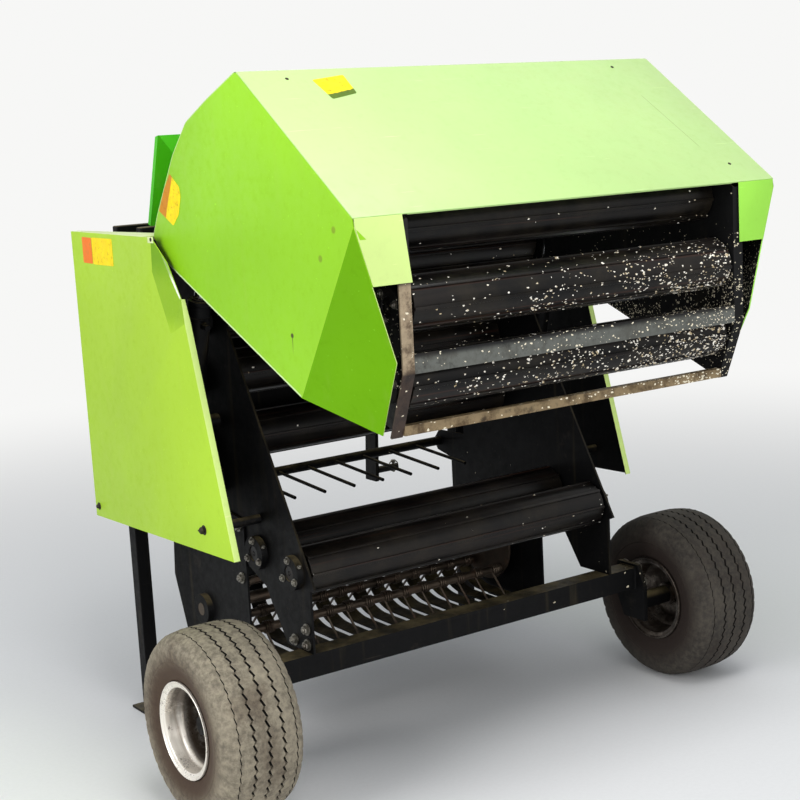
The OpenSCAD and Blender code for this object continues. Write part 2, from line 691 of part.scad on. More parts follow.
// Rim outline: hub, dished disc, barrel and flanges, from the spindle's bore outwards
module rim(s) color("silver") wheel_place(s) rotate_extrude() {
    w = rim_w / 2;
    bore = spindle_r + running;
    hub = spindle_r + hub_t;
    in_r = bead_r - rim_t;
    polygon([[bore, -hub_len / 2], [hub, -hub_len / 2], [hub, -25], [70, -25], [in_r, -47], [in_r, -w],
        [rim_r, -w], [rim_r, 6 - w], [bead_r, 6 - w], [bead_r, w - 6], [rim_r, w - 6], [rim_r, w],
        [in_r, w], [in_r, -38], [70, -16], [hub, -16], [hub, hub_len / 2], [bore, hub_len / 2]]);
}

foot_t = 8;
module parking_leg(s) color(black) placed() on_side(s) translate([leg_x, leg_y, 0]) {
    block([-leg_w / 2, -leg_w / 2, foot_t], [leg_w / 2, leg_w / 2, foot_t + leg_len]);
    block([-foot_w / 2, -foot_w / 2, 0], [foot_w / 2, foot_w / 2, foot_t]);
}

side_plate(-1);  // side_plate_left
side_plate(1);  // side_plate_right
main_frame();
frame_side(-1);  // frame_side_left
frame_side(1);  // frame_side_right
headstock();
axle_beam();
gearbox();
pto_shaft();
side_cover(-1);  // side_cover_left
side_cover(1);  // side_cover_right
twine_box();
twine_box_lid();
front_sheet();
pickup_frame();
stripper_bands();
pickup_reel();
crop_guard();
front_roller(0);  // front_roller_1
front_roller(1);  // front_roller_2
front_roller(2);  // front_roller_3
front_roller(3);  // front_roller_4
front_roller(4);  // front_roller_5
front_roller(5);  // front_roller_6
gate_plate(-1);  // gate_plate_left
gate_plate(1);  // gate_plate_right
gate_frame();
hood();
hood_side(-1);  // hood_side_left
hood_side(1);  // hood_side_right
gate_roller(0);  // gate_roller_1
gate_roller(1);  // gate_roller_2
gate_roller(2);  // gate_roller_3
gate_roller(3);  // gate_roller_4
gate_roller(4);  // gate_roller_5
gate_roller(5);  // gate_roller_6
gate_roller(6);  // gate_roller_7
cylinder_barrel(-1);  // cylinder_barrel_left
cylinder_barrel(1);  // cylinder_barrel_right
cylinder_rod(-1);  // cylinder_rod_left
cylinder_rod(1);  // cylinder_rod_right
tyre(-1);  // tyre_left
tyre(1);  // tyre_right
rim(-1);  // rim_left
rim(1);  // rim_right
parking_leg(-1);  // parking_leg_left
parking_leg(1);  // parking_leg_right
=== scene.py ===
# %% [markdown]
# # A round baler with its tailgate raised
# This lesson dresses a mini round baler. Its frame, rollers, wheels and joints come packed as plain
# solids at their real size. Here each piece gets the folds, fasteners, tread and paint that make
# it look real. All lengths are metres, +X is the machine's right, +Y is forward and +Z is up.

# %% Load the frame
import bpy, bmesh, math
from mathutils import Matrix, Vector


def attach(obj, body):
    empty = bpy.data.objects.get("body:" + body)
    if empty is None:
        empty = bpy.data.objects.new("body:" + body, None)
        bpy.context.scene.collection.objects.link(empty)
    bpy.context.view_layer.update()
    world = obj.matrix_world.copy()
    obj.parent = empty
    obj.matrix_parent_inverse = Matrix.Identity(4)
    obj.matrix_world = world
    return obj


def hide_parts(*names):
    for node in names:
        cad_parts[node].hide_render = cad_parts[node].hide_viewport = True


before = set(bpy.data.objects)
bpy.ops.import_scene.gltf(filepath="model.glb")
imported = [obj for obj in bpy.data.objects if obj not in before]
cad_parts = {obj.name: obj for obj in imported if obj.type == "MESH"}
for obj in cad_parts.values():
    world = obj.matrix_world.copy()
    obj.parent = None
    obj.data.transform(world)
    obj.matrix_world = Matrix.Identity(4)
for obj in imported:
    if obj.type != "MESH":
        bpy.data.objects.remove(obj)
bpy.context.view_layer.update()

# %% [markdown]
# ## The camera comes first
# The photograph was taken from behind the machine's left wheel, with a rather long lens. Its place
# was solved from the tyres and the hood's corners, so the picture is framed the same way here.

# %% Camera
MID_Y = 0.244845  # the scene's Y is the machine's Y, counted from the wheel spindles, less this
LENS_MM, SENSOR_MM = 72.667, 36
VIEW_FROM = Vector((-2.4421, -3.3092 - MID_Y, 1.6384))
VIEW_ALONG = Vector((0.5551, 0.8135, -0.1731)).normalized()
VIEW_UP = Vector((0.1415, 0.1127, 0.9835)).normalized()


def linked(name, data):
    """A new object in the scene that holds the data."""
    made = bpy.data.objects.new(name, data)
    bpy.context.scene.collection.objects.link(made)
    return made


def make_camera():
    data = bpy.data.cameras.new("photo_camera")
    data.lens, data.sensor_width = LENS_MM, SENSOR_MM
    camera = linked("photo_camera", data)
    right = VIEW_ALONG.cross(VIEW_UP).normalized()
    turn = Matrix((right, right.cross(VIEW_ALONG), -VIEW_ALONG)).transposed()
    camera.matrix_world = Matrix.Translation(VIEW_FROM) @ turn.to_4x4()
    bpy.context.scene.camera = camera


make_camera()
print("camera at", tuple(round(c, 3) for c in VIEW_FROM))

# %% [markdown]
# ## Small tools for node trees
# Written out link by link, a node tree would be long and hard to follow. These helpers make and link
# a node in one call, so each finish below reads like a short recipe.

# %% Helpers for node trees
def rgb(red, green, blue):
    """A screen colour from 0 to 255, as the linear values that a shader takes."""
    def linear(c):
        c = c / 255
        return c / 12.92 if c <= 0.04045 else ((c + 0.055) / 1.055) ** 2.4
    return (linear(red), linear(green), linear(blue), 1)


def scaled(colour, factor, plus=0.0):
    """The colour made lighter or darker."""
    return tuple(min(1, c * factor + plus) for c in colour[:3]) + (1,)


class Tree:
    """A node tree that is built by short calls."""

    def __init__(self, tree):
        self.tree = tree

    def node(self, kind, inputs=None, **settings):
        made = self.tree.nodes.new(kind)
        for key, value in settings.items():
            setattr(made, key, value)
        for key, value in (inputs or {}).items():
            self.plug(made.inputs[key], value)
        return made

    def plug(self, socket, value):
        if isinstance(value, bpy.types.NodeSocket):
            self.tree.links.new(value, socket)
        else:
            socket.default_value = value

    def math(self, how, a, b=0.0):
        return self.node("ShaderNodeMath", {0: a, 1: b}, operation=how).outputs[0]

    def times(self, a, *others):
        for b in others:
            a = self.math("MULTIPLY", a, b)
        return a

    def plus(self, a, b):
        return self.math("ADD", a, b)

    def minus(self, a, b):
        return self.math("SUBTRACT", a, b)

    def surface(self, output, share, first, second):
        """Blends two shaders by the share and gives them to the output node."""
        blend = self.node("ShaderNodeMixShader", {0: share, 1: first.outputs[0], 2: second.outputs[0]})
        self.plug(self.tree.nodes[output].inputs["Surface"], blend.outputs[0])


print("node tools ready")

# %% [markdown]
# Every finish reads Object coordinates, so a pattern keeps its place on the piece when the piece
# moves. The class below holds the patterns that the finishes share: clouds of noise, soft ramps, dust
# on what faces up, and scattered bits of straw.

# %% What a finish can do
class Finish(Tree):
    """A material with the patterns that all the finishes share."""

    def __init__(self, name):
        self.material = bpy.data.materials.new(name)
        self.material.use_nodes = True
        super().__init__(self.material.node_tree)
        self.shader = self.tree.nodes["Principled BSDF"]
        self.places = self.node("ShaderNodeTexCoord")
        self.spot = self.places.outputs["Object"]

    def noise(self, scale, detail=3, rough=0.5, stretch=None, offset=0.0, distortion=0.0):
        """Cloudy noise; stretch gives its scale along X, Y and Z."""
        spot = self.node("ShaderNodeMapping", {"Vector": self.spot, "Location": (offset,) * 3,
            "Scale": stretch or (1, 1, 1)})
        return self.node("ShaderNodeTexNoise", {"Vector": spot.outputs[0], "Scale": scale,
            "Detail": detail, "Roughness": rough, "Distortion": distortion}).outputs["Fac"]

    def from_axle(self):
        """How far the point is from the wheels' axle, in metres."""
        flattened = self.vectors("MULTIPLY", self.spot, (0, 1, 1)).outputs[0]
        return self.vectors("DISTANCE", flattened, (0, *AXLE)).outputs["Value"]

    def vectors(self, how, a, b):
        return self.node("ShaderNodeVectorMath", {0: a, 1: b}, operation=how)

    def along(self, direction):
        """How far out the point lies in a direction, in metres."""
        return self.vectors("DOT_PRODUCT", self.spot, direction).outputs["Value"]

    def ramp(self, value, low, high, to_low=0.0, to_high=1.0):
        """Value from low to high becomes to_low to to_high, and stays there outside."""
        return self.node("ShaderNodeMapRange", {"Value": value, "From Min": low, "From Max": high,
            "To Min": to_low, "To Max": to_high}, interpolation_type="SMOOTHSTEP").outputs[0]

    def mix(self, share, a, b):
        made = self.node("ShaderNodeMix", data_type="RGBA")
        self.plug(made.inputs[0], share)
        self.plug(made.inputs[6], a)
        self.plug(made.inputs[7], b)
        return made.outputs[2]

    def facing_up(self, low=0.3, high=0.95):
        """How far the surface faces up, on the piece as it rests."""
        parts = self.node("ShaderNodeSeparateXYZ", {0: self.places.outputs["Normal"]})
        return self.ramp(parts.outputs["Z"], low, high)

    def place(self, axis):
        """The X, Y or Z of the point, in metres."""
        return self.node("ShaderNodeSeparateXYZ", {0: self.spot}).outputs[axis]

    def flecks(self, size, share, offset=0.0):
        """Scattered short bits of straw and dust; share says how many of all places hold one.

        Noise first bends the places a little, so the bits don't lie in rows. Each cell of a Voronoi
        pattern then draws lots for whether it holds a bit, and for how far the bit reaches.
        """
        warp = self.node("ShaderNodeTexNoise", {"Vector": self.spot, "Scale": 70.0, "Detail": 2.0})
        moved = self.vectors("MULTIPLY", warp.outputs["Color"], (size * 1.6,) * 3)
        spot = self.vectors("ADD", self.spot, moved.outputs[0])
        spot = self.node("ShaderNodeMapping", {"Vector": spot.outputs[0], "Location": (offset,) * 3,
            "Scale": (0.62, 1.25, 1)})
        cells = self.node("ShaderNodeTexVoronoi", {"Vector": spot.outputs[0], "Scale": 1 / size},
            feature="F1")
        lot = self.node("ShaderNodeSeparateXYZ", {0: cells.outputs["Color"]})
        taken = self.math("LESS_THAN", lot.outputs["X"], share)
        reach = self.ramp(lot.outputs["Y"], 0, 1, 0.16, 0.40)
        return self.times(taken, self.math("LESS_THAN", cells.outputs["Distance"], reach))

    def straw_share(self, most):
        """More bits lie low in the tailgate and on its right, where the crop is thrown."""
        x, y, z = self.place("X"), self.place("Y"), self.place("Z")
        sideways = self.plus(self.ramp(x, -0.35, 0.45, 0.22, 1), self.ramp(x, 0.2, 0.5, 0, 1.3))
        upright = self.times(self.ramp(z, 0.84, 0.93, 0.05, 1), self.ramp(z, 1.13, 1.37, 1, 0.02))
        rear = self.ramp(y, -0.34, -0.14, 1, 0.04)
        patch = self.ramp(self.noise(9, 3, offset=9), 0.36, 0.62, 0.25, 1)
        return self.times(sideways, self.times(upright, rear), self.times(patch, most))

    def bump(self, height, distance, strength=1.0, under=None):
        made = self.node("ShaderNodeBump", {"Height": height, "Distance": distance, "Strength": strength})
        if under is not None:
            self.plug(made.inputs["Normal"], under)
        return made.outputs[0]

    def done(self, colour, rough, normal=None, metallic=0.0, **fixed):
        self.plug(self.shader.inputs["Base Color"], colour)
        self.plug(self.shader.inputs["Roughness"], rough)
        self.plug(self.shader.inputs["Metallic"], metallic)
        if normal is not None:
            self.plug(self.shader.inputs["Normal"], normal)
        for key, value in fixed.items():
            self.shader.inputs[key.replace("_", " ")].default_value = value
        return self.material


print("finish tools ready")

# %% [markdown]
# ## Light and floor
# A pale floor and three large soft lamps stand in for the open sky, so that paint shows its own colour
# and folds still read by their shade. The world that the camera sees is paler than the one that
# lights the machine: a bright studio wall shouldn't wash out the dark frame.

# %% Light and floor
SHADOW_SIDE = 0.42
BACKDROP = (0.93, 0.93, 0.92, 1)
AIM = Vector((0, 0, 0.8))
LAMPS = (("overhead", (-0.4, -1.6, 4.2), 2.2, 88), ("front_left", (-4.8, -0.5, 2.5), 2.4, 118),
    ("rear_fill", (-1.2, -4.8, 1.6), 2.6, 66))  # name, place, size and power
FLOOR_SIZE, FLOOR_NEAR, FLOOR_FAR = 60, 1.2, 6


def make_sky():
    world = bpy.data.worlds.new("studio")
    bpy.context.scene.world = world
    world.use_nodes = True
    t = Tree(world.node_tree)
    sky = t.tree.nodes["Background"]
    t.plug(sky.inputs["Color"], (0.9, 0.95, 1, 1))
    t.plug(sky.inputs["Strength"], SHADOW_SIDE)
    rays = t.node("ShaderNodeLightPath").outputs
    share = rays["Is Camera Ray"]
    for kind in ("Is Glossy Ray", "Is Transmission Ray"):
        share = t.math("MAXIMUM", share, rays[kind])
    t.surface("World Output", share, sky, t.node("ShaderNodeBackground", {"Color": BACKDROP}))


def make_lamps():
    for name, place, size, watts in LAMPS:
        lamp = bpy.data.lights.new(name, "AREA")
        lamp.size, lamp.energy = size, watts
        holder = linked(name, lamp)
        holder.location = place
        holder.rotation_euler = (AIM - Vector(place)).to_track_quat("-Z", "Y").to_euler()


def deselect():
    bpy.ops.object.select_all(action="DESELECT")


def make_floor():
    """A grey floor that fades into the backdrop with the distance from the machine."""
    deselect()
    bpy.ops.mesh.primitive_plane_add(size=FLOOR_SIZE)
    floor = bpy.context.object
    floor.name = "floor"
    f = Finish("floor")
    grain = f.node("ShaderNodeTexNoise", {"Vector": f.spot, "Scale": 90.0}).outputs["Fac"]
    f.done(f.node("ShaderNodeMapRange", {"Value": grain, "To Min": 0.80, "To Max": 0.85}).outputs[0], 0.9)
    away = f.node("ShaderNodeVectorMath", {0: f.spot}, operation="LENGTH").outputs["Value"]
    camera_ray = f.node("ShaderNodeLightPath").outputs["Is Camera Ray"]
    f.surface("Material Output", f.times(f.ramp(away, FLOOR_NEAR, FLOOR_FAR), camera_ray), f.shader,
        f.node("ShaderNodeEmission", {"Color": BACKDROP}))
    floor.data.materials.append(f.material)


make_sky()
make_lamps()
make_floor()
bpy.context.scene.view_settings.view_transform = "Standard"

# %% [markdown]
# ## Paint on sheet metal
# Field paint is never one flat colour. It fades in broad clouds, carries straw dust on whatever faces
# up, has fine handling scratches and a slight orange-peel, and the sheet under it is a little wavy.

# %% Paint
STRAW_DUST = rgb(196, 176, 128)


def paint(name, colour, rough=0.32, dust=0.35, dirt=0.25, wavy=1.0, chaff=0.0, bare=None, wear=0.0,
        gloss=0.5, marks=None):
    """Paint; marks is a function that draws spots or lines of one panel over its shade."""
    f = Finish(name)
    shade = f.mix(f.ramp(f.noise(1.7, 3), 0.3, 0.7), scaled(colour, 0.88), colour)
    fine = f.noise(38, 6, 0.7, offset=3)
    grime = f.times(f.ramp(fine, 0.5, 0.78), dirt)
    shade = f.mix(grime, shade, scaled(colour, 0.35))
    streak = f.noise(1, 3, stretch=(34, 34, 2.2), offset=8)
    shade = f.mix(f.ramp(streak, 0.56, 0.85, 0, 0.5 * dirt), shade, STRAW_DUST)
    settled = f.times(f.facing_up(), f.ramp(f.noise(14, 5, 0.65, offset=5), 0.35, 0.75, 0.15, 1), dust)
    shade = f.mix(settled, shade, STRAW_DUST)
    scratch = f.noise(1, 2, stretch=(5, 160, 130), offset=2, distortion=0.6)
    thin = f.times(f.ramp(scratch, 0.71, 0.74), 0.35)
    shade = f.mix(thin, shade, bare or scaled(colour, 1.5, 0.05))
    if wear:
        chips = f.times(f.ramp(f.noise(9, 8, 0.75, offset=11), 0.60, 0.66), wear)
        shade = f.mix(chips, shade, bare or rgb(120, 112, 100))
    if chaff:
        shade = f.mix(f.flecks(0.006, f.straw_share(chaff * 0.7)), shade, rgb(222, 212, 184))
    if marks:
        shade = marks(f, shade)
    rough_all = f.plus(f.ramp(fine, 0.3, 0.8, rough, rough + 0.2), f.times(settled, 0.4))
    normal = f.bump(f.noise(3.2, 2, offset=4), 0.012 * wavy, 0.5)
    normal = f.bump(f.noise(420, 2), 0.0004, 0.35, normal)
    return f.done(shade, rough_all, normal, Specular_IOR_Level=gloss)


print("paint ready")

# %% [markdown]
# Some panels have marks of their own: a scratch on the hood, stains and a painted highlight along the lower
# edge on its sides, and painted shade at the top and a painted highlight along the edge of the cover's facet.
# Each is drawn by a small function that gets the shade so far and gives back the marked one, so the paint
# under it stays the same for all.

# %% Marks on single panels
def edge_line(f, start, along, inwards, width):
    """1 on a band along an edge; the (y, z) vectors give its start, its direction and the way inwards."""
    y, z = f.minus(f.place("Y"), start[0]), f.minus(f.place("Z"), start[1])
    off = f.plus(f.times(y, inwards[0]), f.times(z, inwards[1]))
    done = f.plus(f.times(y, along[0]), f.times(z, along[1]))
    ragged = f.plus(off, f.times(f.noise(45, 4, 0.7, offset=6), -0.003))
    return f.times(f.ramp(ragged, width - 0.0025, width - 0.001, 1, 0), f.ramp(done, 0, 0.01))


# Y, Z and radius of each spot, its stain, how much of it shows, and how much of the streak below it.
SIDE_MARKS = ((-0.481, 1.170, 0.0075, rgb(56, 50, 22), 0.95, 0.7),
    (-0.619, 1.347, 0.010, rgb(112, 120, 24), 0.6, 0), (-0.678, 1.410, 0.010, rgb(120, 124, 24), 0.6, 0))


def hood_paint():
    """The hood's green, painted pale as light on its top, with one thin scratch down its rear slope."""
    def with_scratch(f, shade):
        y = f.place("Y")
        off = f.minus(f.place("X"), f.plus(f.times(y, -0.085), 0.440))
        line = f.ramp(f.math("ABSOLUTE", off), 0.0005, 0.0015, 0.6, 0)
        reach = f.times(f.ramp(y, -0.640, -0.625), f.ramp(y, -0.455, -0.440, 1, 0))
        return f.mix(f.times(line, reach), shade, rgb(120, 150, 60))
    return paint("hood_lit_green", rgb(187, 222, 140), 0.34, dust=0.08, dirt=0.08, marks=with_scratch)


def side_paint():
    """The hood's side green with its stains, the streak below one of them and a painted highlight along its
    lower edge.
    """
    def with_marks(f, shade):
        y, z = f.place("Y"), f.place("Z")
        for spot_y, spot_z, radius, stain, most, run in SIDE_MARKS:
            off_y, off_z = f.minus(y, spot_y), f.minus(z, spot_z)
            away = f.math("SQRT", f.plus(f.times(off_y, off_y), f.times(off_z, off_z)))
            spot = f.times(f.ramp(away, radius * 0.5, radius, 1, 0), most)
            thin = f.ramp(f.math("ABSOLUTE", off_y), radius * 0.1, radius * 0.4, run, 0)
            below = f.times(f.ramp(off_z, -0.05, -0.002), f.ramp(off_z, -0.004, 0.002, 1, 0))
            shade = f.mix(f.math("MAXIMUM", spot, f.times(thin, below)), shade, stain)
        # A painted highlight along the side's lower cut edge.
        bright = edge_line(f, (-0.5061, 1.0317), (0.9139, 0.4060), (-0.4060, 0.9139), 0.0045)
        return f.mix(f.times(bright, 0.8), shade, rgb(222, 242, 186))
    return paint("side_green", rgb(151, 214, 22), 0.38, dust=0.15, dirt=0.12, gloss=0.35, marks=with_marks)


def facet_paint():
    """The cover's green, painted darker as shade on the facet towards its top, with a painted highlight along
    its edge.
    """
    def shaded(f, shade):
        up = f.place("Z")
        # Painted shade: darker up the facet.
        dark = f.plus(f.ramp(up, 1.12, 1.19, 0, 0.5), f.ramp(up, 1.24, 1.33, 0, 0.4))
        shade = f.mix(dark, shade, rgb(98, 146, 12))
        # A painted highlight along the facet's rear edge, mostly low down.
        worn = edge_line(f, (0.0132, 1.222), (0.594, 0.804), (0.804, -0.594), 0.006)
        low = f.ramp(up, 1.26, 1.29, 1, 0.15)
        return f.mix(f.times(worn, low), shade, rgb(240, 246, 228))
    return paint("facet_green", rgb(172, 212, 46), 0.42, dust=0.1, dirt=0.2, gloss=0.25, marks=shaded)


# The two worn edges that this prints are painted highlights.
print("marks ready:", len(SIDE_MARKS), "stains, a scratch and two worn edges")

# %% [markdown]
# The greens differ from panel to panel, as in the photograph, so each has its own colour here. Part of that
# is painted light: the hood's top, its left strip and the covers' lips are painted pale as lit, and the right
# strip, the sides' lower faces, the covers' facets and the twine box darker as shade. Black steel gets chips
# and bits of straw, and the inner faces are painted black as shade and get more straw still.

# %% The paints
paints = {
    "hood_lit_green": hood_paint(),
    # The left strip beside the opening is painted pale as light, the right one darker as shade.
    "strip_lit_green": paint("strip_lit_green", rgb(217, 242, 146), 0.36, dust=0.08, dirt=0.08),
    "right_strip_green": paint("right_strip_green", rgb(156, 223, 74), 0.36, dust=0.08, dirt=0.08),
    "side_green": side_paint(),
    "cover_green": paint("cover_green", rgb(172, 212, 46), 0.38, dust=0.3, dirt=0.12, gloss=0.4),
    # The slanted lower faces of the hood's sides are painted darker as shade.
    "under_shaded_green": paint("under_shaded_green", rgb(108, 170, 0), 0.46, dust=0.04, dirt=0.14, gloss=0.12),
    "facet_green": facet_paint(),
    # The covers' rear-facing lips are painted pale: dust, and painted light.
    "lip_dusty_lit_green": paint("lip_dusty_lit_green", rgb(224, 250, 146), 0.42, dust=0.06, dirt=0.15, gloss=0.3),
    "faded_green": paint("faded_green", rgb(222, 236, 172), 0.42, dust=0.15, dirt=0.12),
    # The twine box's darker green is painted shade, as it lies under the raised tailgate.
    "box_shaded_green": paint("box_shaded_green", rgb(74, 200, 12), 0.34, dust=0.2, dirt=0.2),
    "frame_black": paint("frame_black", rgb(8, 8, 9), 0.46, dust=0.3, dirt=0.09, wavy=0.3, chaff=0.5,
        bare=rgb(70, 62, 54), wear=0.16, gloss=0.12),
    # Inner faces of the hood sides and covers, and the right tailgate plate, are painted black as shade, with
    # straw on it.
    "inner_shade_black": paint("inner_shade_black", rgb(8, 8, 9), 0.55, dust=0.2, dirt=0.05, wavy=0.2, chaff=0.9,
        gloss=0.2),
}
print("paints:", ", ".join(paints))

# %% [markdown]
# ## Bare and worked metal
# Straw polishes the rollers lengthways, so their black varies in bands along them, and thin brown
# lines along them are painted highlights. Tines and shafts are plain steel with spots of rust, the
# piston rods are chromed, and the gearbox is cast.

# %% Metals
def steel(name, colour, rough=0.35, rust=0.3, grain=(4, 90, 90), metallic=0.9):
    f = Finish(name)
    line = f.noise(1, 4, 0.6, stretch=grain)
    shade = f.mix(f.ramp(line, 0.35, 0.7), scaled(colour, 0.6), colour)
    spots = f.times(f.ramp(f.noise(16, 7, 0.7, offset=2), 0.5, 0.7), rust)
    shade = f.mix(spots, shade, rgb(92, 58, 36))
    plain = f.minus(metallic, f.times(spots, metallic))
    return f.done(shade, f.ramp(line, 0.3, 0.75, rough, rough + 0.25), f.bump(line, 0.0006, 0.4), plain)


def roller_steel():
    f = Finish("roller_steel")
    bands = f.noise(1, 3, 0.6, stretch=(1.6, 26, 26), offset=1)
    shade = f.mix(f.ramp(bands, 0.4, 0.72), rgb(6, 5, 5), rgb(26, 22, 20))
    # Thin brown lines along the roller: painted highlights.
    line = f.ramp(f.noise(1, 3, 0.6, stretch=(0.9, 110, 110), offset=5), 0.6, 0.68, 0, 0.5)
    shade = f.mix(line, shade, rgb(58, 34, 26))
    film = f.times(f.ramp(f.noise(8, 5, 0.7, offset=4), 0.4, 0.75), 0.22)
    shade = f.mix(film, shade, rgb(70, 62, 48))
    near, far = f.flecks(0.0056, f.straw_share(1.1)), f.flecks(0.0092, f.straw_share(0.5), offset=3)
    specks = f.math("MAXIMUM", near, far)
    straw = f.mix(f.ramp(f.noise(90, 2), 0.35, 0.6), rgb(196, 176, 138), rgb(255, 250, 238))
    shade = f.mix(specks, shade, straw)
    rough = f.ramp(bands, 0.35, 0.75, 0.3, 0.55)
    return f.done(shade, f.plus(rough, f.times(specks, 0.3)), f.bump(bands, 0.0008, 0.5),
        Specular_IOR_Level=0.22)


def cast_iron():
    f = Finish("cast_iron")
    grit = f.noise(220, 4, 0.6)
    shade = f.mix(f.ramp(f.noise(9, 5, 0.7), 0.4, 0.7), rgb(34, 35, 38), rgb(66, 62, 56))
    return f.done(shade, f.ramp(grit, 0.3, 0.7, 0.5, 0.75), f.bump(grit, 0.0012, 0.6), 0.2)


metals = {
    "roller_steel": roller_steel(),
    "shaft_steel": steel("shaft_steel", rgb(176, 172, 166), 0.3, 0.25, (60, 6, 60)),
    "tine_steel": steel("tine_steel", rgb(104, 92, 80), 0.4, 0.6, (20, 20, 20)),
    "chrome": steel("chrome", rgb(214, 214, 216), 0.08, 0.05, (60, 60, 5), 1.0),
    "bolt_zinc": steel("bolt_zinc", rgb(150, 146, 136), 0.35, 0.35, (40, 40, 40)),
    "dull_zinc": steel("dull_zinc", rgb(70, 66, 58), 0.5, 0.6, (40, 40, 40)),
    "cast_iron": cast_iron(),
}
print("metals:", ", ".join(metals))

# %% [markdown]
# ## Rubber and wheels
# The tyres have run over stubble, so the tread is grey with dust, and the grooves are painted near black as
# shade. The right wheel's tyre and rim are painted darker as shade.

# %% Rubber and rim paint
AXLE = (-MID_Y, 0.235)


def tyre_rubber(name, pale, dark, stain):
    f = Finish(name)
    mottle = f.noise(75, 6, 0.7)
    shade = f.mix(f.ramp(mottle, 0.32, 0.68), dark, pale)
    smear = f.ramp(f.noise(11, 4, 0.6, offset=3), 0.42, 0.72, 0, 0.4)
    shade = f.mix(smear, shade, scaled(pale, 1.3))
    mud = f.ramp(f.noise(6, 5, 0.65, offset=7), 0.52, 0.74, 0, 0.55)
    shade = f.mix(mud, shade, stain)
    # The sidewall gets darker towards the rim: partly mud, partly painted shade.
    shade = f.mix(f.ramp(f.from_axle(), 0.140, 0.212, 0.9, 0), shade, stain)
    return f.done(shade, f.ramp(mottle, 0.3, 0.7, 0.78, 0.95), f.bump(f.noise(260, 3, 0.6), 0.001, 0.5),
        Specular_IOR_Level=0.25)


def rim_silver(name, lip, barrel, mud):
    """Silver paint that is bright on the lip; its darker barrel, and the brown deep in the rim and at the top
    of its barrel, are painted shade mixed with mud.
    """
    f = Finish(name)
    # Painted shade: the silver darkens with the depth of the rim.
    deep = f.ramp(f.math("ABSOLUTE", f.place("X")), 0.770, 0.853, 1, 0)
    ring = f.node("ShaderNodeCombineXYZ", {"X": f.times(f.place("X"), 55),
        "Y": f.times(f.from_axle(), 75), "Z": f.times(f.place("Z"), 5)})
    turned_lines = f.node("ShaderNodeTexNoise", {"Vector": ring.outputs[0], "Scale": 1.0,
        "Detail": 4.0}).outputs["Fac"]
    shade = f.mix(f.ramp(deep, 0, 0.35), lip, f.mix(f.ramp(turned_lines, 0.35, 0.68), barrel, lip))
    blotch = f.noise(22, 5, 0.7, offset=3)
    # Mud deep in the rim, and painted shade at the top of the barrel.
    caked_and_shaded = f.math("MAXIMUM", f.ramp(deep, 0.25, 1), f.times(f.ramp(deep, 0.04, 0.12),
        f.ramp(f.place("Z"), 0.17, 0.28, 0, 0.85)))
    mud_and_shade = f.times(f.ramp(blotch, 0.36, 0.6, 0.5, 1), caked_and_shaded)
    shade = f.mix(mud_and_shade, shade, mud)
    rust = f.times(f.ramp(f.noise(60, 6, 0.75, offset=8), 0.58, 0.68), 0.7)
    shade = f.mix(rust, shade, rgb(74, 54, 40))
    return f.done(shade, f.ramp(blotch, 0.3, 0.7, 0.22, 0.45), f.bump(turned_lines, 0.0008, 0.3), 0.7)


rubber = tyre_rubber("tyre_rubber", rgb(148, 139, 121), rgb(102, 95, 83), rgb(62, 45, 35))
groove_shade_rubber = tyre_rubber("groove_shade_rubber", rgb(26, 23, 20), rgb(12, 11, 10), rgb(14, 12, 11))
# A darker rubber for the right tyre: painted shade.
shaded_rubber = tyre_rubber("tyre_rubber_shaded", rgb(72, 67, 60), rgb(44, 41, 38), rgb(38, 28, 24))
rubber_black = tyre_rubber("rubber_black", rgb(34, 33, 32), rgb(18, 18, 18), rgb(34, 33, 32))
porcelain = steel("porcelain", rgb(226, 220, 204), 0.2, 0.1, (30, 30, 30), 0.0)
rim_paint = rim_silver("rim_silver", rgb(238, 232, 222), rgb(128, 116, 104), rgb(70, 58, 48))
# A darker silver for the right rim: painted shade.
shaded_rim_paint = rim_silver("rim_silver_dull", rgb(150, 142, 132), rgb(96, 86, 76), rgb(52, 44, 38))
print("rubber and rim paint made")

# %% [markdown]
# ## Small tools for modelling
# A part starts as a primitive, gets its shape in edit mode, and is finished by modifiers that are
# applied. An operator acts on everything that is selected, so each helper deselects first and then
# picks faces or edges in code, by where they lie.

# %% Places, selection and edit mode
MM = 0.001
SIDES = (("left", -1), ("right", 1))
LEFT = (-1, 0, 0)


def at(y, z):
    """A point of the machine, in millimetres from the wheel spindles, as Y and Z of the scene."""
    return (y * MM - MID_Y, z * MM)


HINGE = (400, 1280)
GATE_OPEN = math.radians(38.5)  # how far the tailgate is raised at rest


def raised(y, z):
    """A point of the shut tailgate, in millimetres, where it lies with the tailgate raised."""
    dy, dz = y - HINGE[0], z - HINGE[1]
    return at(HINGE[0] + dy * math.cos(GATE_OPEN) + dz * math.sin(GATE_OPEN),
        HINGE[1] - dy * math.sin(GATE_OPEN) + dz * math.cos(GATE_OPEN))


def only(*pieces):
    deselect()
    for piece in pieces:
        piece.select_set(True)
    bpy.context.view_layer.objects.active = pieces[-1]


def named(piece, name):
    piece.name = piece.data.name = name
    return piece


def added(name):
    """The primitive that was just added, named, and with its place and turn in its mesh."""
    piece = named(bpy.context.object, name)
    bpy.ops.object.transform_apply(location=True, rotation=True, scale=True)
    return piece


def discard(*templates):
    """Removes what was modelled only to be copied."""
    for template in templates:
        bpy.data.objects.remove(template)


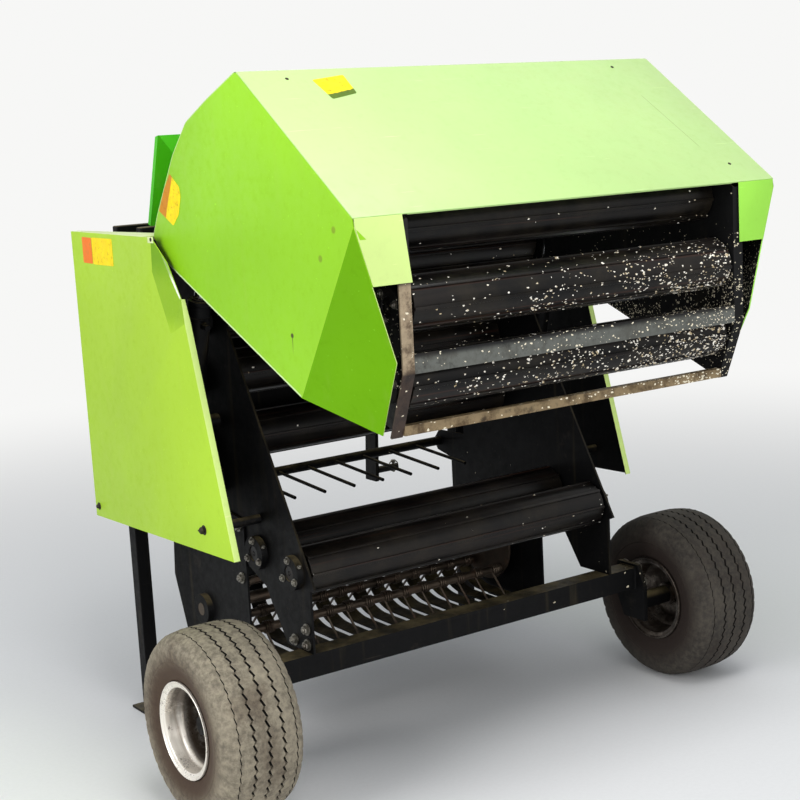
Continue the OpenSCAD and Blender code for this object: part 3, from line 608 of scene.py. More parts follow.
def edit(piece, *steps, mode="FACE", pick=None):
    """Enters edit mode, selects all, or what pick says yes to, and does the steps."""
    only(piece)
    bpy.ops.object.mode_set(mode="EDIT")
    bpy.ops.mesh.select_mode(type=mode)
    bpy.ops.mesh.select_all(action="DESELECT" if pick else "SELECT")
    if pick:
        mesh = bmesh.from_edit_mesh(piece.data)
        for part in {"FACE": mesh.faces, "EDGE": mesh.edges, "VERT": mesh.verts}[mode]:
            if pick(part):
                part.select_set(True)
        bmesh.update_edit_mesh(piece.data)
    for step in steps:
        step()
    bpy.ops.object.mode_set(mode="OBJECT")
    return piece


print("tailgate hinge at", [round(v, 3) for v in at(*HINGE)])

# %% [markdown]
# The shapes come next. Panels and bars are outlines that are pulled along a vector, and everything
# round is a rod or a profile that is spun, so each shape needs only a few numbers.

# %% Shapes
def flat(name, corners):
    """A flat face with its corners at the points given."""
    deselect()
    bpy.ops.mesh.primitive_circle_add(vertices=len(corners), fill_type="NGON")
    piece = added(name)
    for vertex, corner in zip(piece.data.vertices, corners):
        vertex.co = corner
    return piece


def outwards(piece):
    return edit(piece, lambda: bpy.ops.mesh.normals_make_consistent(inside=False))


def drawn(name, corners, along):
    """A flat outline drawn out along a vector to a solid."""
    piece = flat(name, corners)
    edit(piece, lambda: bpy.ops.mesh.extrude_region_move(TRANSFORM_OT_translate={"value": tuple(along)}))
    return outwards(piece)


def slab(name, points, x0, x1):
    """An outline of (y, z) points, in metres, drawn out along X from x0 to x1."""
    return drawn(name, [(x0, y, z) for y, z in points], (x1 - x0, 0, 0))


def modify(piece, kind, **settings):
    only(piece)
    bpy.ops.object.modifier_add(type=kind)
    modifier = piece.modifiers[-1]
    for key, value in settings.items():
        setattr(modifier, key, value)
    bpy.ops.object.modifier_apply(modifier=modifier.name)
    return piece


def rounded(piece, width, segments=2, angle=30):
    return modify(piece, "BEVEL", width=width, segments=segments, limit_method="ANGLE",
        angle_limit=math.radians(angle))


def rod(name, start, end, radius, sides=24, bevel=0.0):
    start, end = Vector(start), Vector(end)
    deselect()
    turn = (end - start).to_track_quat("Z", "Y").to_euler()
    bpy.ops.mesh.primitive_cylinder_add(vertices=sides, radius=radius, depth=(end - start).length,
        location=(start + end) / 2, rotation=turn)
    piece = added(name)
    return rounded(piece, bevel) if bevel else piece


def block(name, low, high, bevel=0.002):
    deselect()
    bpy.ops.mesh.primitive_cube_add(size=1, location=(Vector(low) + Vector(high)) / 2)
    bpy.context.object.scale = Vector(high) - Vector(low)
    return rounded(added(name), bevel)


def turned(name, profile, centre, along=(1, 0, 0), steps=48):
    """A profile of (radius, distance along the axis) points, spun once round that axis."""
    along = Vector(along).normalized()
    side = Vector((0, 0, 1)) if abs(along.z) < 0.9 else Vector((0, 1, 0))
    side = (side - side.dot(along) * along).normalized()
    points = [Vector(centre) + side * r + along * d for r, d in profile]
    piece = flat(name, points)
    edit(piece, lambda: bpy.ops.mesh.delete(type="ONLY_FACE"), pick=lambda face: True)
    edit(piece, lambda: bpy.ops.mesh.spin(steps=steps, angle=2 * math.pi, center=centre, axis=along),
        lambda: bpy.ops.mesh.select_all(action="SELECT"),
        lambda: bpy.ops.mesh.remove_doubles(threshold=0.00001),
        lambda: bpy.ops.mesh.normals_make_consistent(inside=False), mode="VERT")
    return piece


def standing(name, profile, steps):
    """A turned part that stands on its +Z, ready to be copied."""
    return turned(name, profile, (0, 0, 0), (0, 0, 1), steps)


def joined(name, *pieces):
    only(*pieces)
    bpy.ops.object.join()
    return named(bpy.context.object, name)


print("tools for shapes ready")

# %% [markdown]
# A part that occurs more than once is modelled once and copied. The small copies on one body are
# joined to one piece. Most pieces of one side are mirrored from the other's, so they can't differ.

# %% Copies, and the last step of a piece
def flipped(piece):
    """Mirrors a mesh across the machine's middle, and turns its faces back to point outwards."""
    piece.data.transform(Matrix.Scale(-1, 4, (1, 0, 0)))
    return edit(piece, lambda: bpy.ops.mesh.flip_normals())


def twin_of(piece, moved=None):
    """A copy with a mesh of its own, moved by a matrix if one is given."""
    twin = piece.copy()
    twin.data = piece.data.copy()
    bpy.context.scene.collection.objects.link(twin)
    if moved is not None:
        twin.data.transform(moved)
    return twin


def mirrored(piece, name):
    """The same piece on the machine's other side."""
    return flipped(named(twin_of(piece), name))


def copies(template, name, places):
    """One copy of the template for each (place, direction of its +Z), all joined to one piece."""
    return joined(name, *[twin_of(template, Matrix.Translation(Vector(place))
        @ Vector(direction).to_track_quat("Z", "Y").to_matrix().to_4x4()) for place, direction in places])


def both_sides(x, spots):
    """Places for copies at (y, z) spots on the machine's two sides, looking outwards."""
    return [((sign * x, *spot), (sign, 0, 0)) for spot in spots for sign in (-1, 1)]


def dressed(piece, look, body, slot, *nodes):
    """Gives a piece its finish and its body, and hides the solids that it stands for.

    A piece that already has its finishes gets None as its look. The slot is not used.
    """
    if look:
        piece.data.materials.clear()
        piece.data.materials.append(look)
    only(piece)
    bpy.ops.object.shade_smooth_by_angle(angle=math.radians(35))
    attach(piece, body)
    if nodes:
        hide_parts(*nodes)
    return piece


def fastened(piece, body="frame"):
    """Bolts, nuts and pins get a dull zinc finish."""
    return dressed(piece, metals["bolt_zinc"], body, "bare_steel")


print("tools for copies ready")

# %% [markdown]
# ## Tyres
# These are wide, low-pressure implement tyres. Their tread is nearly flat and has five thin zigzag
# grooves. The section is spun round the axle in 180 steps, and then the grooves' walls are moved a
# little to the left and right from step to step, which draws the zigzag without one boolean cut. Every
# third stretch of a groove keeps the tread's dusty rubber and the other two are painted near black as shade,
# so the grooves read as dark dashes.

# %% Tyres
TYRE_R, WALL_R, BEAD_R, TYRE_HALF = 0.235, 0.172, 0.1045, 0.1075
TRACK_HALF = 0.752
TYRE_STEPS = 180
ZIGZAG, NOTCH = 0.0034, 0.0034  # how far a groove's wall swings, and how deep a shoulder's notch is
GROOVES = ((-0.075, 0.0014, 0.004), (-0.0385, 0.0030, 0.007), (0, 0.0032, 0.008),
    (0.0385, 0.0030, 0.007), (0.075, 0.0014, 0.004))  # middle, half width and depth
SHOULDER = (0.086, 0.092, 0.0985, 0.1035, 0.1065)
WALL = [(0.178, 0.1075), (0.168, 0.1073), (0.1665, 0.1062), (0.1640, 0.1062), (0.1625, 0.1071),
    (0.150, 0.1045), (0.136, 0.1005), (0.130, 0.0995), (0.128, 0.0983), (0.1215, 0.0975),
    (0.1212, 0.0930), (BEAD_R + 0.0002, 0.0930)]


def crown(side):
    """Outer radius of the tyre at a distance from its middle: a rounded box more than a circle."""
    share = min(1, abs(side) / TYRE_HALF) ** (1 / 0.55)
    return WALL_R + (TYRE_R - WALL_R) * math.sqrt(max(0, 1 - share ** 2)) ** 0.6


def tyre_profile():
    """Points of (radius, distance from the middle), from one bead over the tread to the other."""
    tread = []
    for middle, half, depth in GROOVES:
        top, bottom = crown(middle), crown(middle) - depth
        start, end = middle - half, middle + half
        tread += [(crown(start - 0.004), start - 0.004), (top, start), (bottom, middle - half * 0.6),
            (bottom, middle + half * 0.6), (top, end), (crown(end + 0.004), end + 0.004)]
    right = [(crown(x), x) for x in SHOULDER] + WALL
    return [(r, -x) for r, x in reversed(right)] + tread + right


def make_tyre(name, outside):
    tyre = turned(name, tyre_profile(), (0, *AXLE), steps=TYRE_STEPS)
    step = 2 * math.pi / TYRE_STEPS
    for vertex in tyre.data.vertices:
        x, y, z = vertex.co.x, vertex.co.y - AXLE[0], vertex.co.z - AXLE[1]
        radius = math.hypot(y, z)
        turn = round(math.atan2(y, z) / step)
        if radius > 0.215:
            for middle, half, _ in GROOVES:
                if abs(x - middle) <= half * 1.02:
                    vertex.co.x += (ZIGZAG, 0, -ZIGZAG)[turn % 3] * (1 if half > 0.002 else 0.5)
        if 0.091 < abs(x) < 0.1045 and turn % 5 == 0 and radius > 0.18:
            vertex.co.y -= y / radius * NOTCH
            vertex.co.z -= z / radius * NOTCH
    tyre.data.materials.append(outside)
    # The groove faces get a near-black rubber: painted shade.
    tyre.data.materials.append(groove_shade_rubber)
    for face in tyre.data.polygons:
        middle = face.center
        y, z = middle.y - AXLE[0], middle.z - AXLE[1]
        slanted = math.floor(math.atan2(y, z) / step) % 3 < 2
        if abs(middle.x) < 0.078 and 0.2 < math.hypot(y, z) < crown(middle.x) - 0.0012 and slanted:
            face.material_index = 1
    return tyre


tyre_left = make_tyre("tyre_tread_left", rubber)
tyre_left.data.transform(Matrix.Translation((-TRACK_HALF, 0, 0)))
tyre_right = mirrored(tyre_left, "tyre_tread_right")
# The right tyre is painted darker as shade.
tyre_right.data.materials[0] = shaded_rubber
for tyre, (side, _) in zip((tyre_left, tyre_right), SIDES):
    dressed(tyre, None, "wheel_" + side, "tyre", "tyre_" + side)
print("faces in a tyre:", len(tyre_left.data.polygons))

# %% [markdown]
# ## Rims
# The rim is pressed from sheet steel: a rolled flange at each edge, bead seats, a dropped centre and
# a deep disc that is welded in. One spun profile gives all of it with the hub, and the nuts and the
# valve follow.

# %% Rims
SPINDLE_R, NUT_RING = 0.01505, 0.052
RIM_PROFILE = [(0.1190, 0.1030), (0.1183, 0.1038), (0.1168, 0.1040), (0.1150, 0.1030), (0.1135, 0.1010),
    (0.1100, 0.0995), (0.1060, 0.0990), (0.1035, 0.0970), (0.1022, 0.0900), (0.1008, 0.0700),
    (0.0975, 0.0640), (0.0935, 0.0600), (0.0920, 0.0520), (0.0920, -0.0280), (0.0905, -0.0360),
    (0.0870, -0.0385), (0.0800, -0.0340), (0.0740, -0.0250), (0.0690, -0.0190), (0.0640, -0.0160),
    (0.0330, -0.0160), (0.0322, -0.0150), (0.0320, 0.0435), (0.0312, 0.0450), (SPINDLE_R, 0.0450),
    (SPINDLE_R, -0.0450), (0.0320, -0.0450), (0.0320, -0.0210), (0.0640, -0.0210), (0.0680, -0.0235),
    (0.0780, -0.0385), (0.0850, -0.0430), (0.0920, -0.0440), (0.0940, -0.0520), (0.0965, -0.0640),
    (0.1000, -0.0700), (0.1010, -0.0900), (0.1022, -0.0970), (0.1060, -0.0990), (0.1135, -0.1000),
    (0.1150, -0.1030), (0.1170, -0.1040), (0.1190, -0.1030), (0.1190, -0.0985), (0.1180, -0.0980),
    (0.1100, -0.0965), (0.1045, -0.0940), (0.1040, -0.0700), (0.0975, -0.0600), (0.0955, -0.0520),
    (0.0955, 0.0520), (0.0975, 0.0600), (0.1040, 0.0700), (0.1045, 0.0940), (0.1100, 0.0965),
    (0.1180, 0.0980), (0.1190, 0.0985)]


def hex_nut(name, flats, height, washer=0.0, bolt=0.0):
    """A chamfered hexagon on a washer, standing on its +Z, with a bolt's end above it if asked for."""
    thick = washer * 0.12
    deselect()
    bpy.ops.mesh.primitive_cylinder_add(vertices=6, radius=flats / math.sqrt(3), depth=height,
        location=(0, 0, height / 2 + thick))
    parts = [rounded(added(name), flats * 0.06)]
    if washer:
        parts.append(rod(name + "_washer", (0, 0, 0), (0, 0, thick), washer / 2, 20))
    if bolt:
        top = (0, 0, height + bolt * 0.7)
        parts.append(rod(name + "_end", (0, 0, 0), top, bolt / 2, 12, bolt * 0.08))
    return joined(name, *parts)


def make_rim(name):
    def above_hub(x, up):
        return (x, AXLE[0], AXLE[1] + up)
    rim = turned(name, RIM_PROFILE, (0, *AXLE), steps=72)
    nut = hex_nut("wheel_nut", 0.019, 0.013, 0.024, 0.012)
    ring = [((-0.0155, AXLE[0] + NUT_RING * math.cos(a), AXLE[1] + NUT_RING * math.sin(a)), (1, 0, 0))
        for a in [math.radians(90 + 72 * k) for k in range(5)]]
    nuts = copies(nut, name + "_nuts", ring)
    discard(nut)
    valve = rod(name + "_valve", above_hub(0.030, 0.090), above_hub(0.062, 0.084), 0.004, 12)
    cap = rod(name + "_valve_cap", above_hub(0.060, 0.0845), above_hub(0.071, 0.0825), 0.005, 12, 0.001)
    return rim, joined(name + "_nuts", nuts, valve, cap)


left_wheel = make_rim("rim_left_pressed")
right_wheel = [named(twin_of(piece), piece.name.replace("left", "right")) for piece in left_wheel]
for piece in left_wheel:
    flipped(piece)
# The right rim gets the darker silver, painted shade.
for (rim, nuts), (side, sign), look in zip((left_wheel, right_wheel), SIDES,
        (rim_paint, shaded_rim_paint)):
    for piece in (rim, nuts):
        piece.data.transform(Matrix.Translation((sign * TRACK_HALF, 0, 0)))
    dressed(rim, look, "wheel_" + side, "rim", "rim_" + side)
    dressed(nuts, metals["bolt_zinc"], "wheel_" + side, "rim")
print("rims with", len(left_wheel[1].data.polygons), "faces of nuts and valve")

# %% [markdown]
# ## Sheet panels
# The green panels are 3 mm sheet that was cut flat and then folded. So each one starts as flat faces
# that share an edge. Beveling that edge gives the fold its radius, Solidify gives the sheet its
# thickness towards the inside, and a tiny bevel takes the sharpness off the cut rim.

# %% Helpers for sheet metal
SHEET = 0.003


def facing(piece, towards):
    """Turns a sheet's faces over if they look away from the direction given."""
    total = sum((face.normal * face.area for face in piece.data.polygons), Vector())
    if total.dot(Vector(towards)) < 0:
        edit(piece, lambda: bpy.ops.mesh.flip_normals())
    return piece


def merged(piece, distance=0.0002):
    return edit(piece, lambda: bpy.ops.mesh.remove_doubles(threshold=distance), mode="VERT")


def sheet_metal(piece, towards, fold=0.004, wall=SHEET):
    """Rounds the folds of flat faces that share edges, and gives them their thickness."""
    facing(piece, towards)
    edit(piece, lambda: bpy.ops.mesh.bevel(offset=fold, segments=4, affect="EDGES", clamp_overlap=True),
        mode="EDGE", pick=lambda edge: len(edge.link_faces) == 2 and edge.calc_face_angle(0) > 0.02)
    modify(piece, "SOLIDIFY", thickness=wall, offset=-1, use_even_offset=True)
    return rounded(piece, 0.0006, 2, 60)


def inset(outline, distance):
    """The outline moved in by a distance, with its corners mitred."""
    moved = []
    for i, here in enumerate(outline):
        back, ahead = Vector(outline[i - 1]), Vector(outline[(i + 1) % len(outline)])
        one, two = (Vector(here) - back).normalized(), (ahead - Vector(here)).normalized()
        turn = Vector((-one.y, one.x)) + Vector((-two.y, two.x))
        moved.append(Vector(here) + turn * (2 * distance / turn.dot(turn)))
    return moved


def panel(name, *faces):
    """Flat faces, each a list of (x, y, z) corners, merged where their corners meet."""
    return merged(joined(name, *[flat(name + "_face", corners) for corners in faces]))


print("sheet metal tools ready")

# %% [markdown]
# ## The hood
# The hood's skin is one wide sheet, folded over the tailgate. It is drawn as a strip that follows the
# outline from its front edge over the ridge to the top of the rear cut-out. Every fold gets the same
# width, so the shallow folds come out soft and the steep one at the ridge sharp.

# %% Hood skin
HOOD_X = 0.6255
CUT_X, CUT_LOW = 0.502, 0.484
FOLD_REAR, FOLD_FRONT, TUCK_REAR = (-398, 821), (37, 674), (-318, 721)
HOOD = [(351, 1276), (361, 1364), (301, 1388), (125, 1436), (13, 1446), (-102, 1416), (-258, 1368),
    (-410, 836), FOLD_REAR, FOLD_FRONT]


def across(point, x):
    """A (y, z) point of the scene, with its X in metres."""
    return (x, *point)


skin_line = [raised(*point) for point in HOOD[1:8]]
hood = panel("hood_skin", *[[across(a, -HOOD_X), across(a, HOOD_X), across(b, HOOD_X), across(b, -HOOD_X)]
    for a, b in zip(skin_line, skin_line[1:])])
sheet_metal(hood, (0, -0.3, 1), fold=0.012)
# The skin's pale green is painted light on the hood's top.
dressed(hood, paints["hood_lit_green"], "tailgate", "green_paint", "hood")
print("hood skin:", len(hood.data.polygons), "faces")

# %% [markdown]
# Each side of the hood is one sheet with two folds: one to the slanted lower side, which tucks in
# under the machine, and one round the corner to the strip beside the rear opening.

# %% Hood sides
FOLD_ALONG = (Vector(FOLD_FRONT) - Vector(FOLD_REAR)).normalized()
TUCK = 0.56
REAR_END = -0.7557


def below_fold(point):
    """How far a point of the shut tailgate, in millimetres, lies below the lower fold."""
    away = Vector(point) - Vector(FOLD_REAR)
    return -(away.x * -FOLD_ALONG.y + away.y * FOLD_ALONG.x)


def tucked(point):
    return (HOOD_X - TUCK * below_fold(point) * MM, *raised(*point))


def make_hood_side(name, cut_low):
    under = inset(HOOD, 3)
    wide = [across(raised(*p), HOOD_X) for p in under[1:8] + [FOLD_REAR, FOLD_FRONT, HOOD[0]]]
    chamfer = [tucked(p) for p in (FOLD_REAR, TUCK_REAR, (-213, 589), (-41, 509), FOLD_FRONT)]
    corner = raised(*under[7])
    strip = [across(corner, CUT_X), across(corner, HOOD_X), across(raised(*FOLD_REAR), HOOD_X),
        tucked(TUCK_REAR), across(raised(*TUCK_REAR), cut_low)]
    side = sheet_metal(panel(name, wide, chamfer, strip), (1, 0, -0.2), fold=0.0035)
    for vertex in side.data.vertices:
        vertex.co.y = max(vertex.co.y, REAR_END)
    return side


def repainted(piece, look, test):
    """Gives another finish to the faces that the test says yes to."""
    piece.data.materials.append(look)
    for face in piece.data.polygons:
        if test(face):
            face.material_index = len(piece.data.materials) - 1
    return piece


hood_side_right = make_hood_side("hood_side_panel_right", CUT_X)
spare = make_hood_side("spare_side", CUT_LOW)
hood_side_left = mirrored(spare, "hood_side_panel_left")
discard(spare)
for piece, (side, sign) in zip((hood_side_left, hood_side_right), SIDES):
    dressed(piece, paints["side_green"], "tailgate", "green_paint", "hood_side_" + side)
    inwards = Vector((-sign, 0.3, 0.2))
    # The slanted lower faces are painted darker as shade.
    repainted(piece, paints["under_shaded_green"],
        lambda face: face.normal.x * sign > 0.5 and face.normal.z < -0.15)
    # The left strip is painted pale as light, the right one darker as shade.
    strip = paints["strip_lit_green" if side == "left" else "right_strip_green"]
    repainted(piece, strip, lambda face: face.normal.y < -0.6)
    # The inner faces are painted black as shade.
    repainted(piece, paints["inner_shade_black"], lambda face: face.normal.dot(inwards) > 0.3)
print("hood side:", [round(v, 3) for v in hood_side_left.dimensions])

# %% [markdown]
# A rolled hem stiffens the upper edge of the opening: a thin rod along the edge draws it without a
# tight fold. Pan-head screws fix the skin to the struts inside. A screw is half a flattened sphere on
# a washer. It is modelled once and copied to each place, turned to the slope that it stands on.

# %% Hem and screws
def beaded(name, start, end, radius):
    """A weld bead: a thin rod whose rings are alternately thick and thin."""
    pitch = 0.006
    bead = rod(name, start, end, radius, 8)
    run = Vector(end) - Vector(start)
    along, cuts = run.normalized(), max(2, int(run.length / pitch))
    edit(bead, lambda: bpy.ops.mesh.subdivide(number_cuts=cuts), mode="EDGE",
        pick=lambda edge: abs((edge.verts[0].co - edge.verts[1].co).normalized().dot(along)) > 0.9)
    for vertex in bead.data.vertices:
        d = (vertex.co - Vector(start)).dot(along)
        middle = Vector(start) + along * d
        swell = 0.82 + 0.18 * math.cos(2 * math.pi * d / (2 * pitch)) + 0.08 * math.sin(d * 310)
        vertex.co = middle + (vertex.co - middle) * swell
    return bead


def pan_screw(radius):
    """A pan-head screw on its washer, standing on its +Z."""
    deselect()
    bpy.ops.mesh.primitive_uv_sphere_add(segments=16, ring_count=8, radius=radius)
    screw = added("pan_screw")
    edit(screw, lambda: bpy.ops.mesh.bisect(plane_co=(0, 0, 0), plane_no=(0, 0, 1), clear_inner=True,
        use_fill=True))
    edit(screw, lambda: bpy.ops.transform.resize(value=(1, 1, 0.45)))
    washer = rod("washer", (0, 0, -0.0002), (0, 0, 0.0012), radius * 1.45, 20, 0.0003)
    return joined("pan_screw", screw, washer)


def plane_spot(a, b, share, lift=0.0):
    """A place on the line between two (y, z) points, and the upward normal there, as (y, z) vectors."""
    a, b = Vector(a), Vector(b)
    along = (b - a).normalized()
    up = Vector((-along.y, along.x))
    up = up if up.y > 0 else -up
    return a + (b - a) * share + up * lift, up


screw = pan_screw(0.0031)
rear_top, rear_low = skin_line[5], skin_line[6]
spots = []
for x, k, share in ((-0.512, 5, 0.075), (0.478, 5, 0.075), (0.533, 5, 0.87),
        *[(x, k, 0.5) for x in (-0.585, 0, 0.585) for k in (1, 3)]):
    spot, up = plane_spot(skin_line[k], skin_line[k + 1], share, -0.0002)
    spots.append(((x, *spot), (0, *up)))
dressed(copies(screw, "hood_screws", spots), metals["dull_zinc"], "tailgate", "bare_steel")
discard(screw)
edge, up = plane_spot(rear_top, rear_low, 0.9915, -0.0045)
hem = rod("cut_out_hem", (-0.484, *edge), (0.484, *edge), 0.0032, 12, 0.0006)
# The hem gets the same pale green, painted light.
dressed(hem, paints["hood_lit_green"], "tailgate", "green_paint")
print("screws on the hood:", len(spots))

# %% [markdown]
# ## Side covers
# A cover is a sheet with three folds: a lip along its slanted rear edge, a flange along its top, and
# a shallow crease that stiffens its upper rear corner. Its faces share their corners, so merging them
# makes one sheet whose folds can be rounded together.

# %% Side covers
COVER_X = 0.65
COVER = [(68, 592), (870, 570), (880, 1373), (388, 1371), (323, 1310), (258, 1222)]
CREASE = [(393, 1284), (314, 1133), (235, 1164)]
FLANGE_END, LATCH = (440, 1371.3), (215, 646)
TAB_OUT = COVER_X + 0.0014


def make_cover(name):
    def side(point, x=COVER_X):
        return (x, *at(*point))
    rear, top, crease_in = COVER_X - 0.017, COVER_X - 0.1, COVER_X - 0.007
    inner_top, inner_rear = side(COVER[4], crease_in), side(COVER[5], crease_in)
    main = [side(point) for point in (*COVER[:3], FLANGE_END, COVER[3], *CREASE)]
    facet = [side(CREASE[1]), side(CREASE[0]), side(COVER[3]), inner_top, inner_rear]
    gusset = [side(CREASE[2]), side(CREASE[1]), inner_rear]
    lip = [side(COVER[0]), side(CREASE[2]), side(CREASE[2], rear), side(COVER[0], rear)]
    upper_lip = [side(CREASE[2]), inner_rear, side(COVER[5], rear), side(CREASE[2], rear)]
    flange = [side(FLANGE_END), side(COVER[2]), side(COVER[2], COVER_X - 0.022), side(FLANGE_END, top)]
    return sheet_metal(panel(name, main, facet, gusset, lip, upper_lip, flange), (1, 0, 0.1), fold=0.003)


cover_right = make_cover("side_cover_panel_right")
cover_left = mirrored(cover_right, "side_cover_panel_left")
for piece, (side, sign) in zip((cover_left, cover_right), SIDES):
    dressed(piece, paints["cover_green"], "frame", "green_cover", "side_cover_" + side)
    outside = Vector((sign, 0, 0))
    # The cover's facet is painted darker as shade.
    repainted(piece, paints["facet_green"],
        lambda face: face.normal.dot(outside) > 0.9 and abs(face.normal.y) > 0.01)
    repainted(piece, paints["faded_green"], lambda face: face.normal.z > 0.85)
    # The rear-facing lip is painted pale: dust, and painted light.
    repainted(piece, paints["lip_dusty_lit_green"], lambda face: face.normal.y < -0.85)
    # The inner faces are painted black as shade.
    repainted(piece, paints["inner_shade_black"], lambda face: face.normal.dot(outside) < -0.9)
print("cover:", [round(v, 3) for v in cover_left.dimensions])

# %% [markdown]
# The latch is a knob on a quarter-turn bolt, with a wing across it for the fingers. A dome nut holds
# the cover's lower front corner, and a screw on a small tab its upper rear one. Round parts are spun
# from a profile, because one short list of points then gives every step of the shape.

# %% Latches and corner fixings of the covers
def cover_fittings(side, sign):
    latch = (sign * COVER_X, *at(*LATCH))
    knob = turned("knob", [(0.0001, 0.013), (0.005, 0.0125), (0.0085, 0.010), (0.0095, 0.0065),
        (0.008, 0.004), (0.0055, 0.0025), (0.0055, 0.0012), (0.0125, 0.0010), (0.0130, 0.0002),
        (0.0001, 0)], latch, (sign, 0, 0), 24)
    wing = block("wing", (-0.002, -0.009, 0.006), (0.002, 0.009, 0.0135), 0.0012)
    wing.data.transform(Matrix.Translation(latch) @ Matrix.Rotation(sign * math.pi / 2, 4, "Y"))
    nut = standing("dome", [(0.0001, 0.0095), (0.003, 0.009), (0.0052, 0.007), (0.0058, 0.0045),
        (0.0064, 0.0042), (0.0064, 0.0012), (0.0105, 0.001), (0.0108, 0), (0.0001, 0)], 20)
    dome = copies(nut, "dome_nut", [((sign * COVER_X, *at(848, 600)), (sign, 0, 0))])
    screw = pan_screw(0.0034)
    upper = copies(screw, "upper_screw", [((sign * TAB_OUT, *at(384, 1366)), (sign, 0, 0))])
    discard(nut, screw)
    return joined("cover_fittings_" + side, knob, wing, dome, upper)


def corner_tab(side, sign):
    """The tab under the upper screw, where the sheet's corner has been patched."""
    low, high = at(373, 1357), at(403, 1372.5)
    x0, x1 = sorted((sign * (COVER_X - 0.0004), sign * TAB_OUT))
    return block("cover_tab_" + side, (x0, *low), (x1, *high), 0.0005)


for side, sign in SIDES:
    dressed(cover_fittings(side, sign), metals["dull_zinc"], "frame", "bare_steel")
    dressed(corner_tab(side, sign), paints["faded_green"], "frame", "green_cover")
print("latches, dome nuts and tabs on both covers")

# %% [markdown]
# ## Rollers
# Thirteen rollers stand in a ring and turn the bale. All are the same: a drum of thick tube with an
# end plate set into it, eight flat ribs welded along it, and a shaft. One is modelled at the origin
# and copied to each axis. The ribs of the raised tailgate's rollers are turned with the tailgate.

# %% Rollers
DRUM_HALF, DRUM_R, SHAFT_R, SHAFT_END = 0.478, 0.060, 0.020, 0.508
PLATE_OUT = 0.492
CHAMBER, RING_R, PITCH, SPLIT = (100, 930), 395, 25.5, 240.3


def make_roller():
    half = [(0, SHAFT_END), (0.0035, SHAFT_END), (0.0045, SHAFT_END - 0.003), (0.0060, SHAFT_END),
        (0.0185, SHAFT_END), (SHAFT_R, SHAFT_END - 0.0015), (SHAFT_R, 0.4775), (0.0245, 0.4765),
        (0.0262, 0.4730), (0.0535, 0.4730), (0.0545, 0.4780), (0.0592, 0.4780), (DRUM_R, 0.4770)]
    drum = turned("drum", half + [(r, -x) for r, x in reversed(half)], (0, 0, 0), steps=64)
    rib = block("rib", (-DRUM_HALF, -0.004, DRUM_R - 0.002), (DRUM_HALF, 0.004, DRUM_R + 0.004), 0.0012)
    ribs = [twin_of(rib, Matrix.Rotation(k * math.pi / 4, 4, "X")) for k in range(8)]
    discard(rib)
    return joined("roller", drum, *ribs)


def ring_point(degrees):
    turn = math.radians(degrees)
    return CHAMBER[0] + RING_R * math.cos(turn), CHAMBER[1] + RING_R * math.sin(turn)


front_axes = [ring_point(SPLIT - 360 + 178.7 - k * PITCH) for k in range(4)]
front_axes += [ring_point(263 + k * PITCH) for k in range(2)]
gate_axes = [ring_point(237.5 - k * PITCH) for k in range(7)]
roller = make_roller()
roller_spots = {}
for kind, axes, placed, turn in (("front", front_axes, at, 0), ("gate", gate_axes, raised, -GATE_OPEN)):
    for number, axis in enumerate(axes, 1):
        node = f"{kind}_roller_{number}"
        spot = roller_spots[node] = placed(*axis)
        twin = twin_of(roller, Matrix.Translation((0, *spot)) @ Matrix.Rotation(turn, 4, "X"))
        dressed(named(twin, node + "_ribbed"), metals["roller_steel"], node, "roller", node)
discard(roller)
print("rollers:", len(roller_spots))

# %% [markdown]
# ## The frame keeps its solids
# The black frame parts already have the right shape. They only need soft edges, which catch the
# light, so each gets a Weld and then a Bevel modifier, and the finish of what the part is made of.

# %% Soft edges for the frame's solids
def softened(node, look, width, segments=2):
    """Gives a solid its finish, and soft edges of the width if it isn't 0."""
    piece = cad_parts[node]
    if piece.data.materials:
        for entry in piece.material_slots:
            entry.material = look
    else:
        piece.data.materials.append(look)
    piece.modifiers.new("weld", "WELD").merge_threshold = 0.00002
    if width:
        soft = piece.modifiers.new("soft_edges", "BEVEL")
        soft.width, soft.segments = width, segments
        soft.limit_method, soft.angle_limit = "ANGLE", math.radians(32)


black = paints["frame_black"]
softened("main_frame", black, 0.004, 3)
softened("axle_beam", black, 0.003, 3)
for node in ("headstock", "front_sheet", "pickup_frame", "crop_guard", "stripper_bands"):
    softened(node, black, 0.001)
for side, _ in SIDES:
    softened("frame_side_" + side, black, 0.003, 3)
    softened("side_plate_" + side, black, 0.0009)
    softened("parking_leg_" + side, black, 0.002)
    softened("cylinder_barrel_" + side, black, 0.0015)
    softened("cylinder_rod_" + side, metals["chrome"], 0.0012)
softened("gearbox", metals["cast_iron"], 0.004, 3)
softened("pickup_reel", metals["tine_steel"], 0)
# The twine box and lid get a darker green: painted shade.
for node in ("twine_box", "twine_box_lid"):
    softened(node, paints["box_shaded_green"], 0.0009)
print("soft edges on", sum(1 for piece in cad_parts.values() if piece.modifiers), "solids")

# %% [markdown]
# Straw has worn the tailgate's rear flange and its lowest bar to bare steel, and a grey band on the
# bar above it is a painted sheen. These bands follow straight lines, so the finish measures how far each
# point lies from them. That needs no picture and no cut in the solid. Noise breaks up the bands, and bits
# of straw lie over everything.

